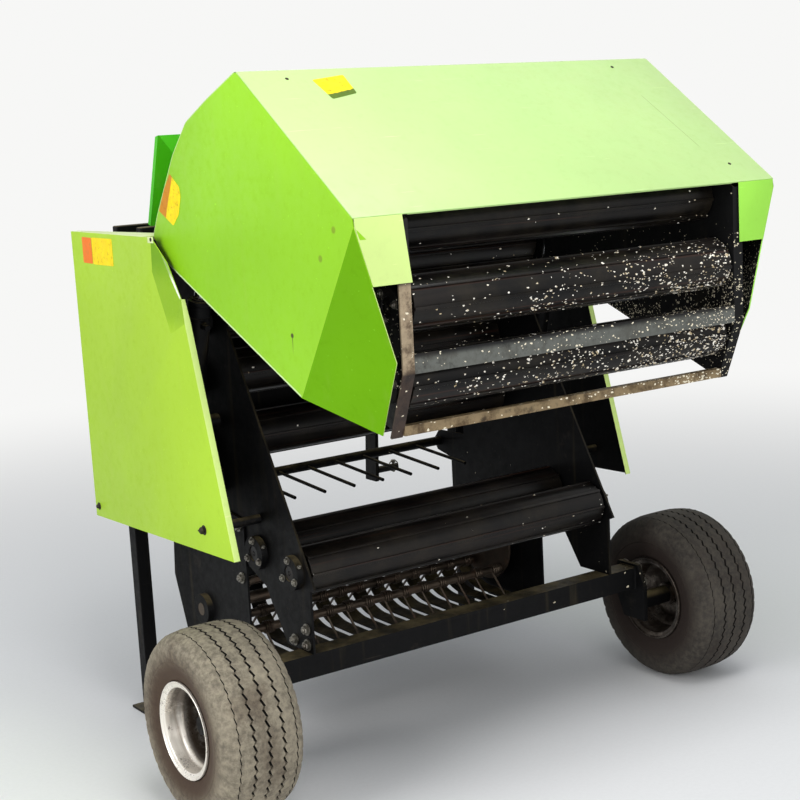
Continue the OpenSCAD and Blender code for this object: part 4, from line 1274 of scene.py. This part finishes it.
# %% Worn rear edges of the tailgate
def line_mask(f, a, b, reach):
    """1 near the line through two (y, z) points of the shut tailgate, and 0 farther off than reach."""
    a, b = Vector(raised(*a)), Vector(raised(*b))
    along = (b - a).normalized()
    off = f.minus(f.along((0, -along.y, along.x)), -along.y * a.x + along.x * a.y)
    near = f.ramp(f.math("ABSOLUTE", off), reach, reach + 0.002, 1, 0)
    down, start = f.along((0, along.x, along.y)), along.dot(a)
    end = start + (b - a).length
    return f.times(near, f.times(f.ramp(down, start - 0.01, start + 0.004),
        f.ramp(down, end - 0.004, end + 0.01, 1, 0)))


def black_with_wear_and_sheen(name, lines):
    """The frame's black, with the paint gone near each line of (start, end, worn, under, reach); on the bars,
    the grey line stands for a painted sheen.
    """
    f = Finish(name)
    fine = f.noise(60, 6, 0.7)
    shade = f.mix(f.ramp(f.noise(14, 5, 0.65, offset=5), 0.4, 0.75, 0, 0.2), rgb(10, 10, 11), rgb(64, 56, 44))
    patches = f.ramp(f.noise(34, 5, 0.7, offset=12), 0.3, 0.46, 0.5, 1)
    streaks = f.ramp(f.noise(1, 4, 0.6, stretch=(3, 50, 50), offset=1), 0.45, 0.7, 0, 0.35)
    blotch = f.ramp(f.noise(26, 6, 0.7, offset=4), 0.42, 0.66)
    for a, b, worn, under, reach in lines:
        bare = f.mix(streaks, f.mix(blotch, worn, under), scaled(worn, 0.7))
        shade = f.mix(f.times(line_mask(f, a, b, reach), patches), shade, bare)
    shade = f.mix(f.flecks(0.0058, f.straw_share(1.0)), shade, rgb(236, 226, 200))
    return f.done(shade, f.ramp(fine, 0.3, 0.7, 0.38, 0.62), f.bump(fine, 0.0008, 0.4),
        Specular_IOR_Level=0.3)


HEEL, KNEE, TIP = (-312, 718.4), (-192.3, 568.8), (-50, 489)
flange_look = black_with_wear_and_sheen("worn_flange", [(HEEL, KNEE, rgb(166, 148, 122), rgb(92, 76, 60), 0.007),
    (KNEE, TIP, rgb(62, 48, 40), rgb(36, 28, 24), 0.007)])
# The first band here, grey, is a painted sheen on the bar; the second is worn steel.
bars_look = black_with_wear_and_sheen("bars_worn_and_sheen", [((-212, 592), (-176, 550), rgb(98, 100, 95), rgb(80, 80, 74), 0.05),
    ((-70, 492), (-34, 516), rgb(146, 126, 94), rgb(84, 66, 42), 0.04)])
softened("gate_plate_left", flange_look, 0.0009)
# The right plate gets the inner black: painted shade, where the left one shows worn steel.
softened("gate_plate_right", paints["inner_shade_black"], 0.0009)
softened("gate_frame", bars_look, 0.0016)
# The right plate's black is painted shade and the grey band on the bars a painted sheen.
print("worn finishes on the tailgate's plates and bars")

# %% [markdown]
# ## Bolts, bearings and welds
# A machine looks real when its fasteners do. Each bearing housing gets three hexagon bolts and a
# grease nipple. One bolt is modelled and copied, and all bolts of a body are one piece, which is
# lighter than a modifier for each. The housing that the tailgate's arm swings past gets flush screws.

# %% Bolts and bearings
bolt = hex_nut("bolt", 0.013, 0.0055, 0.020, 0.0065)
big_bolt = hex_nut("big_bolt", 0.019, 0.0085, 0.030, 0.0105)
nipple = standing("nipple", [(0, 0.0125), (0.0022, 0.0122), (0.0030, 0.0105), (0.0018, 0.0088),
    (0.0020, 0.0066), (0.0048, 0.0060), (0.0048, 0.0015), (0.0036, 0), (0, 0)], 12)
flush = standing("flush_screw", [(0, -0.0004), (0.0028, -0.0004), (0.0031, 0.0008), (0.0072, 0.0008),
    (0.0076, 0.0003), (0.0076, -0.001), (0, -0.001)], 24)
SUNK = 0.0002  # fasteners stand this deep in the plate, so that no gap shows under them
HOUSING_OUT, BOLT_RING, NIPPLE_RING = PLATE_OUT + 0.018, 0.0335, 0.0435


def around(spot, radius, turn):
    return spot[0] + radius * math.cos(turn), spot[1] + radius * math.sin(turn)


def bearing_bolts(spots, phase):
    """Places for three bolts on each bearing housing, on both sides of the machine."""
    turns = [math.radians(phase) + 2 * math.pi * k / 3 for k in range(3)]
    return both_sides(HOUSING_OUT - SUNK, [around(spot, BOLT_RING, turn) for spot in spots for turn in turns])


def nipples(spots, phase):
    turn = math.radians(phase)
    return [((sign * (PLATE_OUT + 0.011), *around(spot, NIPPLE_RING, turn)),
        (0, math.cos(turn), math.sin(turn))) for spot in spots for sign in (-1, 1)]


front_spots, gate_spots = [[spot for node, spot in roller_spots.items() if node.startswith(kind)]
    for kind in ("front", "gate")]
upper_front = [front_spots.pop(0)]
fastened(joined("bearing_bolts_front", copies(bolt, "bolts", bearing_bolts(front_spots, 90)),
    copies(flush, "flush_screws", bearing_bolts(upper_front, 90)),
    copies(nipple, "nipples", nipples(front_spots + upper_front, 150))))
fastened(joined("bearing_bolts_tailgate", copies(bolt, "bolts", bearing_bolts(gate_spots, 51.5)),
    copies(nipple, "nipples", nipples(gate_spots, 20))), "tailgate")
print("bolts and nipples:", 2 * (3 + 1) * len(roller_spots))

# %% [markdown]
# Larger bolts stand on the axle's brackets, along the side plates and on the tailgate's arms. Each row
# of them is one short list of places, and each place is used on both sides.

# %% Bolts of the frame
BRACKET_OUT = 0.597
spots = both_sides(BRACKET_OUT - SUNK, [at(*p) for p in ((-28, 300), (68, 300), (-5, 338), (45, 338))])
spots += both_sides(0.4978, [at(*p) for p in ((315, 610), (420, 625), (315, 470), (600, 600))])
spots += both_sides(0.4918, [at(*p) for p in ((10, 360), (70, 360), (10, 400), (590, 1320), (590, 900),
    (590, 1110))])
fastened(copies(big_bolt, "frame_bolts", spots))
arm_spots = both_sides(0.5248, [raised(*p) for p in ((-75, 1368), (-30, 1374), (20, 1378), (62, 1382))])
fastened(copies(big_bolt, "hinge_arm_bolts", arm_spots), "tailgate")
discard(bolt, big_bolt, nipple, flush)
print("large bolts:", len(spots) + len(arm_spots))

# %% [markdown]
# A weld bead is a thin rod that swells and shrinks along its length, like the ripples that a welder
# leaves. Modelled beads catch the light at a joint, which a painted line wouldn't do.

# %% Weld beads
WELD_R = 0.0034


def weld(x, *points):
    """Weld beads along a chain of (y, z) points, in millimetres, in the plane at x."""
    corners = [(x, *at(*point)) for point in points]
    return [beaded("bead", a, b, WELD_R) for a, b in zip(corners, corners[1:])]


beads = []
for sign in (-1, 1):
    beads += weld(sign * 0.585, (-10, 280), (-10, 340), (50, 340), (50, 280), (-10, 280))
    for x in (0.492, 0.542):
        beads += weld(sign * x, (800, 750), (850, 750))
    beads += weld(sign * 0.542, (753.5, 750), (753.5, 620))
    for x in (0.329, 0.341):
        beads += weld(sign * x, (920, 692), (920, 748))
    beads.append(beaded("bead", *[(sign * x, *at(920, 692)) for x in (0.152, 0.188)], WELD_R))
dressed(joined("weld_beads", *beads), black, "frame", "black_paint")
print("weld beads:", len(beads))

# %% [markdown]
# ## Pickup
# The reel's tines are sprung: each is a wire that is wound a few turns round its bar before it runs
# out. The solids hold the straight wires, so only the coils and their clamps are added here. A coil
# is modelled once from three thin rings and copied to every tine.

# %% Tine coils
REEL, BAR_RING, TINE_PITCH = at(530, 340), 0.1, 0.066


def make_coil():
    rings = []
    for k in (-1, 0, 1):
        deselect()
        bpy.ops.mesh.primitive_torus_add(major_radius=0.0152, minor_radius=0.0033, major_segments=18,
            minor_segments=6, rotation=(0, math.radians(90), 0), location=(0.0075 * k + 0.009, 0, 0))
        rings.append(added("ring"))
    clamp = rod("clamp", (0.0205, 0, 0), (0.0265, 0, 0), 0.0165, 16, 0.0008)
    return joined("coil", *rings, clamp)


coil = make_coil()
spots = []
for quarter in range(4):
    turn = math.radians(45 + 90 * quarter)
    place = (REEL[0] + BAR_RING * math.cos(turn), REEL[1] + BAR_RING * math.sin(turn))
    spots += [((k + 0.5) * TINE_PITCH, *place) for k in range(-7, 7)]
made = [twin_of(coil, Matrix.Translation(spot)) for spot in spots]
discard(coil)
coils = joined("tine_coils", *made)
dressed(coils, metals["tine_steel"], "pickup_reel", "tine_steel")
print("coils:", len(spots), "with", len(coils.data.polygons), "faces")

# %% [markdown]
# ## Stickers
# The machine has four weathered stickers. They stay blank here, in plain yellow, orange and dark
# green. Each is a thin sheet with rounded corners that lies on its panel. A patch of paint would have
# no edge, and the sheet catches the light along its rim.

# %% Stickers
def sticker_look(name, colour, second, split=None):
    """Faded print colour; a split of (direction, low, high) lets a second colour come in."""
    f = Finish(name)
    shade = f.mix(f.ramp(f.noise(45, 5, 0.7), 0.4, 0.7, 0, 0.5), colour, scaled(colour, 1.25, 0.02))
    if split:
        direction, low, high = split
        smudge = f.plus(f.along(direction), f.times(f.noise(60, 4, 0.6), 0.006))
        shade = f.mix(f.ramp(smudge, low, high), shade, second)
    stain = f.times(f.ramp(f.noise(80, 6, 0.7, offset=2), 0.5, 0.72), 0.55)
    shade = f.mix(stain, shade, scaled(second, 0.45))
    return f.done(shade, f.ramp(f.noise(90, 4), 0.3, 0.7, 0.3, 0.5), f.bump(f.noise(200, 2), 0.0003, 0.3),
        Specular_IOR_Level=0.25)


def sticker(name, corners, look, body, towards, slot="green_paint"):
    label = facing(flat(name, corners), towards)
    edit(label, lambda: bpy.ops.mesh.bevel(offset=0.004, segments=3, affect="VERTICES"), mode="VERT")
    edit(label, lambda: bpy.ops.mesh.inset(thickness=0.0012))
    label.data.transform(Matrix.Translation(Vector(towards).normalized() * 0.0002))
    modify(label, "SOLIDIFY", thickness=0.0004, offset=1)
    return dressed(label, look, body, slot)


YELLOW, ORANGE = rgb(250, 216, 4), rgb(238, 120, 34)
for kind, colour, second, corners in (
        ("yellow", YELLOW, rgb(226, 160, 20), ((746, 1288), (619, 1288), (619, 1360), (746, 1360))),
        ("orange", ORANGE, rgb(250, 200, 90), ((809, 1290), (749, 1289), (749, 1359), (809, 1360)))):
    sticker("cover_sticker_" + kind, [(-COVER_X, *at(*c)) for c in corners],
        sticker_look("sticker_" + kind, colour, second), "frame", LEFT, "green_cover")
corners = [(170, 1414), (154, 1361), (165, 1340), (206, 1315), (249, 1314), (284, 1387), (222, 1406)]
side_look = sticker_look("sticker_side", YELLOW, rgb(204, 132, 26), ((0, 0.898, 0.44), 0.712, 0.716))
sticker("side_sticker", [(-HOOD_X, *raised(*c)) for c in corners], side_look, "tailgate", LEFT)
corners = [Vector(c) - Vector((0, MID_Y, 0)) for c in ((-0.449, -0.101, 1.730), (-0.356, -0.088, 1.739),
    (-0.360, -0.149, 1.695), (-0.436, -0.165, 1.684))]
up = Vector((0, *plane_spot(rear_top, rear_low, 0)[1]))
level = Vector((0, *rear_top)).dot(up)
top_look = sticker_look("sticker_top", YELLOW, rgb(84, 112, 18), ((-0.145, 0, 1), 1.762, 1.760))
sticker("top_sticker", [c + up * (level - c.dot(up)) for c in corners], top_look, "tailgate", up)
print("stickers made")

# %% [markdown]
# ## Drive
# The shaft that the tractor turns has six splines and a groove for the lock of the drive line. Its
# outline is drawn with six teeth and pulled along the axis, in two lengths with the groove between.

# %% Drive shaft
DRIVE_Z, TIP_Y, NOSE_Y = 830, 1000, 920
TEETH, TOOTH_R, ROOT_R = 6, 0.0174, 0.0146
TOOTH = ((-0.30, ROOT_R), (-0.25, TOOTH_R), (-0.08, TOOTH_R), (0.08, TOOTH_R), (0.25, TOOTH_R),
    (0.30, ROOT_R), (0.52, ROOT_R))  # turn, as a share of a tooth's pitch, and radius


def splined(y0, y1):
    """A splined length of shaft along Y, from y0 to y1, in metres."""
    outline = []
    for k in range(TEETH):
        for turn, radius in TOOTH:
            a = 2 * math.pi * (k + turn) / TEETH
            outline.append((radius * math.cos(a), y0, DRIVE_Z * MM + radius * math.sin(a)))
    return rounded(drawn("splines", outline, (0, y1 - y0, 0)), 0.0004, 1, 50)


tip = at(TIP_Y, 0)[0]
neck = turned("neck", [(0, 0), (0.0125, 0), (0.0140, -0.0015), (0.0140, -0.0040), (0.0139, -0.0330),
    (0.0132, -0.0350), (0.0132, -0.0420), (0.0139, -0.0440), (0.0144, -0.0700), (0.0174, -0.0745),
    (0.0192, -0.0750), (0.0200, -0.0760), (0.0200, -0.1400), (0, -0.1400)],
    (0, tip, DRIVE_Z * MM), (0, 1, 0), 48)
splines = [splined(tip - 0.0335, tip - 0.0025), splined(tip - 0.0690, tip - 0.0435)]
drive = joined("drive_shaft_splined", neck, *splines)
dressed(drive, metals["shaft_steel"], "drive_shaft", "bare_steel", "pto_shaft")
print("drive shaft:", [round(v, 3) for v in drive.dimensions])

# %% [markdown]
# The box itself is a solid of the frame, so only what is bolted or cast on it is added: cooling ribs,
# the top plate with its bolts and breather, plugs, and the flanges of the tube for the cross shaft.

# %% Gearbox details
BOX_HALF = 0.0745
box_low, box_high = at(760, 750), at(NOSE_Y - 15, 905)
box_middle, lid_z = (box_low[0] + box_high[0]) / 2, box_high[1]
fins = []
for k in range(7):
    z = box_low[1] + 0.026 + 0.0175 * k
    for sign in (-1, 1):
        x0, x1 = sorted((sign * BOX_HALF, sign * (BOX_HALF + 0.0035)))
        fins.append(block("fin", (x0, box_low[0] + 0.022, z - 0.0022),
            (x1, box_high[0] - 0.022, z + 0.0022), 0.0012))
plate = block("plate", (-0.060, box_low[0] + 0.016, lid_z - 0.001),
    (0.060, box_high[0] - 0.016, lid_z + 0.0045), 0.0015)
breather = turned("breather", [(0, 0.0185), (0.0060, 0.0180), (0.0085, 0.0150), (0.0085, 0.0115),
    (0.0060, 0.0105), (0.0060, 0.0060), (0.0105, 0.0055), (0.0105, 0), (0, 0)],
    (0.03, box_middle, lid_z + 0.004), (0, 0, 1), 20)
dressed(joined("gearbox_ribs", *fins, plate, breather), metals["cast_iron"], "frame", "gearbox")
bolt = hex_nut("bolt", 0.013, 0.0055, 0.019, 0.0065)
spots = [((x, y, lid_z + 0.0044), (0, 0, 1)) for x in (-0.050, 0.050)
    for y in (box_low[0] + 0.026, box_middle, box_high[0] - 0.026)]
ring = at(NOSE_Y + 5, DRIVE_Z)
for k in range(6):
    turn = math.pi * k / 3 + 0.26
    spots.append(((0.0535 * math.cos(turn), ring[0] - 0.0022 - 0.0178, ring[1] + 0.0535 * math.sin(turn)),
        (0, 1, 0)))
spots += [((sign * 0.0748, box_low[0] + in_from_rear, box_low[1] + 0.012), (sign, 0, 0))
    for sign, in_from_rear in ((-1, 0.03), (1, 0.05))]
fastened(copies(bolt, "gearbox_bolts", spots))
cross_shaft = at(810, DRIVE_Z)
collar = turned("cross_collar", [(0.0262, -0.002), (0.0385, -0.002), (0.0400, 0), (0.0400, 0.010),
    (0.0385, 0.012), (0.0300, 0.013), (0.0290, 0.020), (0.0262, 0.021)],
    (-0.0752, *cross_shaft), LEFT, 40)
flange = turned("cross_flange", [(0.0262, -0.002), (0.0262, 0.010), (0.0300, 0.012), (0.0300, 0.016),
    (0.0480, 0.017), (0.0490, 0.018), (0.0490, 0.0235), (0.0480, 0.0240), (0.0262, 0.0240)],
    (-0.4618, *cross_shaft), LEFT, 40)
dressed(joined("cross_shaft_flanges", collar, flange), black, "frame", "black_paint")
print("gearbox: fins, plate, breather and", len(spots), "bolts")

# %% [markdown]
# ## Cylinders
# Two hydraulic cylinders lift the tailgate. A turned gland closes each barrel round its chromed rod,
# and two hexagonal ports take the hoses. Each cylinder leans, so its parts are drawn along the line
# from its lower to its upper pin.

# %% Cylinder glands and ports
RAM_X, RAM_FOOT = 0.568, (400, 880)
ram_angle = math.radians(183)
ram_top = raised(HINGE[0] + 180 * math.cos(ram_angle), HINGE[1] + 180 * math.sin(ram_angle))
foot = Vector((0, *at(*RAM_FOOT)))
ram_along = (Vector((0, *ram_top)) - foot).normalized()
ram_side = Vector((0, ram_along.z, -ram_along.y))


def cylinder_details(side, sign):
    start = foot + Vector((sign * RAM_X, 0, 0))
    gland = turned("gland", [(0.0154, 0.330), (0.0285, 0.330), (0.0305, 0.332), (0.0312, 0.334),
        (0.0312, 0.3415), (0.0295, 0.345), (0.0215, 0.3455), (0.0205, 0.3490), (0.0175, 0.3500),
        (0.0154, 0.3485)], start, ram_along, 36)
    parts = [turned("ring", [(0.0296, d - 0.004), (0.0318, d - 0.002), (0.0324, d), (0.0318, d + 0.002),
        (0.0296, d + 0.004)], start, ram_along, 36) for d in (0.052, 0.300)]
    for d in (0.075, 0.285):
        base = start + ram_along * d - ram_side * 0.028
        parts.append(rod("port", base, base - ram_side * 0.014, 0.0110, 6, 0.0008))
        parts.append(rod("port_end", base - ram_side * 0.012, base - ram_side * 0.022, 0.0082, 20, 0.0006))
    return joined("cylinder_gland_" + side, gland, *parts)


for side, sign in SIDES:
    dressed(cylinder_details(side, sign), black, "barrel_" + side, "black_paint")
print("glands, weld rings and ports on both cylinders")

# %% [markdown]
# ## Hitch, legs and box
# Pins need something that keeps them in. Each lower hitch pin has a linch pin: a straight pin with a
# ring sprung round it. Each parking leg is held by a pin with a collar.

# %% Linch pins
def linch_pin():
    """A linch pin along Z with its ring, sized for an 11 mm hole."""
    shank = standing("shank", [(0, -0.017), (0.0030, -0.0165), (0.0045, -0.014), (0.0045, 0.014),
        (0.0075, 0.0150), (0.0080, 0.0220), (0.0065, 0.0240), (0, 0.0240)], 16)
    deselect()
    bpy.ops.mesh.primitive_torus_add(major_radius=0.0175, minor_radius=0.0018, major_segments=28,
        minor_segments=8, rotation=(math.radians(90), 0, 0), location=(0, 0, 0.004))
    return joined("linch", shank, added("ring"))


linch = linch_pin()
PIN_END, LEG_X = 0.341 + 0.090, 0.5685
fastened(copies(linch, "hitch_linch_pins", [((sign * (PIN_END - 0.013), *at(NOSE_Y + 20, 520)), (0, 0, 1))
    for sign in (-1, 1)]))
discard(linch)
leg_y, leg_z = at(780 + 26.5, 690)
leg_pins = []
for x in (-LEG_X, LEG_X):
    leg_pins.append(rod("pin", (x, leg_y - 0.0004, leg_z), (x, leg_y + 0.012, leg_z), 0.0065, 16, 0.001))
    leg_pins.append(turned("collar", [(0.0060, 0), (0.0120, 0), (0.0125, 0.001), (0.0120, 0.003),
        (0.0060, 0.003)], (x, leg_y - 0.0002, leg_z), (0, 1, 0), 24))
fastened(joined("leg_pins", *leg_pins))
print("linch pins and leg pins")

# %% [markdown]
# The twine box gets a rubber strap with a knob as its latch, porcelain eyelets for the twine, and the
# lid's screws. The strap's outline is drawn from the side and pulled across, which gives its shape in
# one step.

# %% Twine box latch, eyelets and screws
front_y, front_z = at(930, 1545)
knob_y, knob_z = front_y + 0.0075, front_z - 0.035
strap = slab("latch_strap", [(front_y + 0.0004, front_z + 0.004), (front_y + 0.006, front_z + 0.002),
    (front_y + 0.008, front_z - 0.045), (front_y + 0.0004, front_z - 0.047)], -0.014, 0.014)
knob = rod("latch_knob", (-0.02, knob_y, knob_z), (0.02, knob_y, knob_z), 0.004, 16, 0.001)
dressed(rounded(joined("box_latch", strap, knob), 0.0008, 1), rubber_black, "frame", "black_paint")
eyes = [turned("eyelet", [(0.0060, 0), (0.0125, 0), (0.0130, 0.001), (0.0110, 0.0035), (0.0080, 0.0045),
    (0.0062, 0.0035)], (x, *at(930, 1440)), (0, 1, 0), 28) for x in (-0.16, -0.08, 0.08, 0.16)]
dressed(joined("twine_eyelets", *eyes), porcelain, "frame", "bare_steel")
screw = pan_screw(0.006)
lid_along = Vector((0, 930 - 604, 1560 - 1621)).normalized()
lid_up = Vector((0, -lid_along.z, lid_along.y))
spots = []
for x in (-0.11, 0.11):
    for d in (0.012, 0.030):
        place = Vector((0, *at(604, 1621))) + lid_along * d + lid_up * 0.0031
        spots += [((x + off, place.y, place.z), tuple(lid_up)) for off in (-0.015, 0.015)]
fastened(copies(screw, "lid_screws", spots), "twine_lid")
discard(bolt, screw)
print("latch, eyelets and", len(spots), "screws on the twine box")
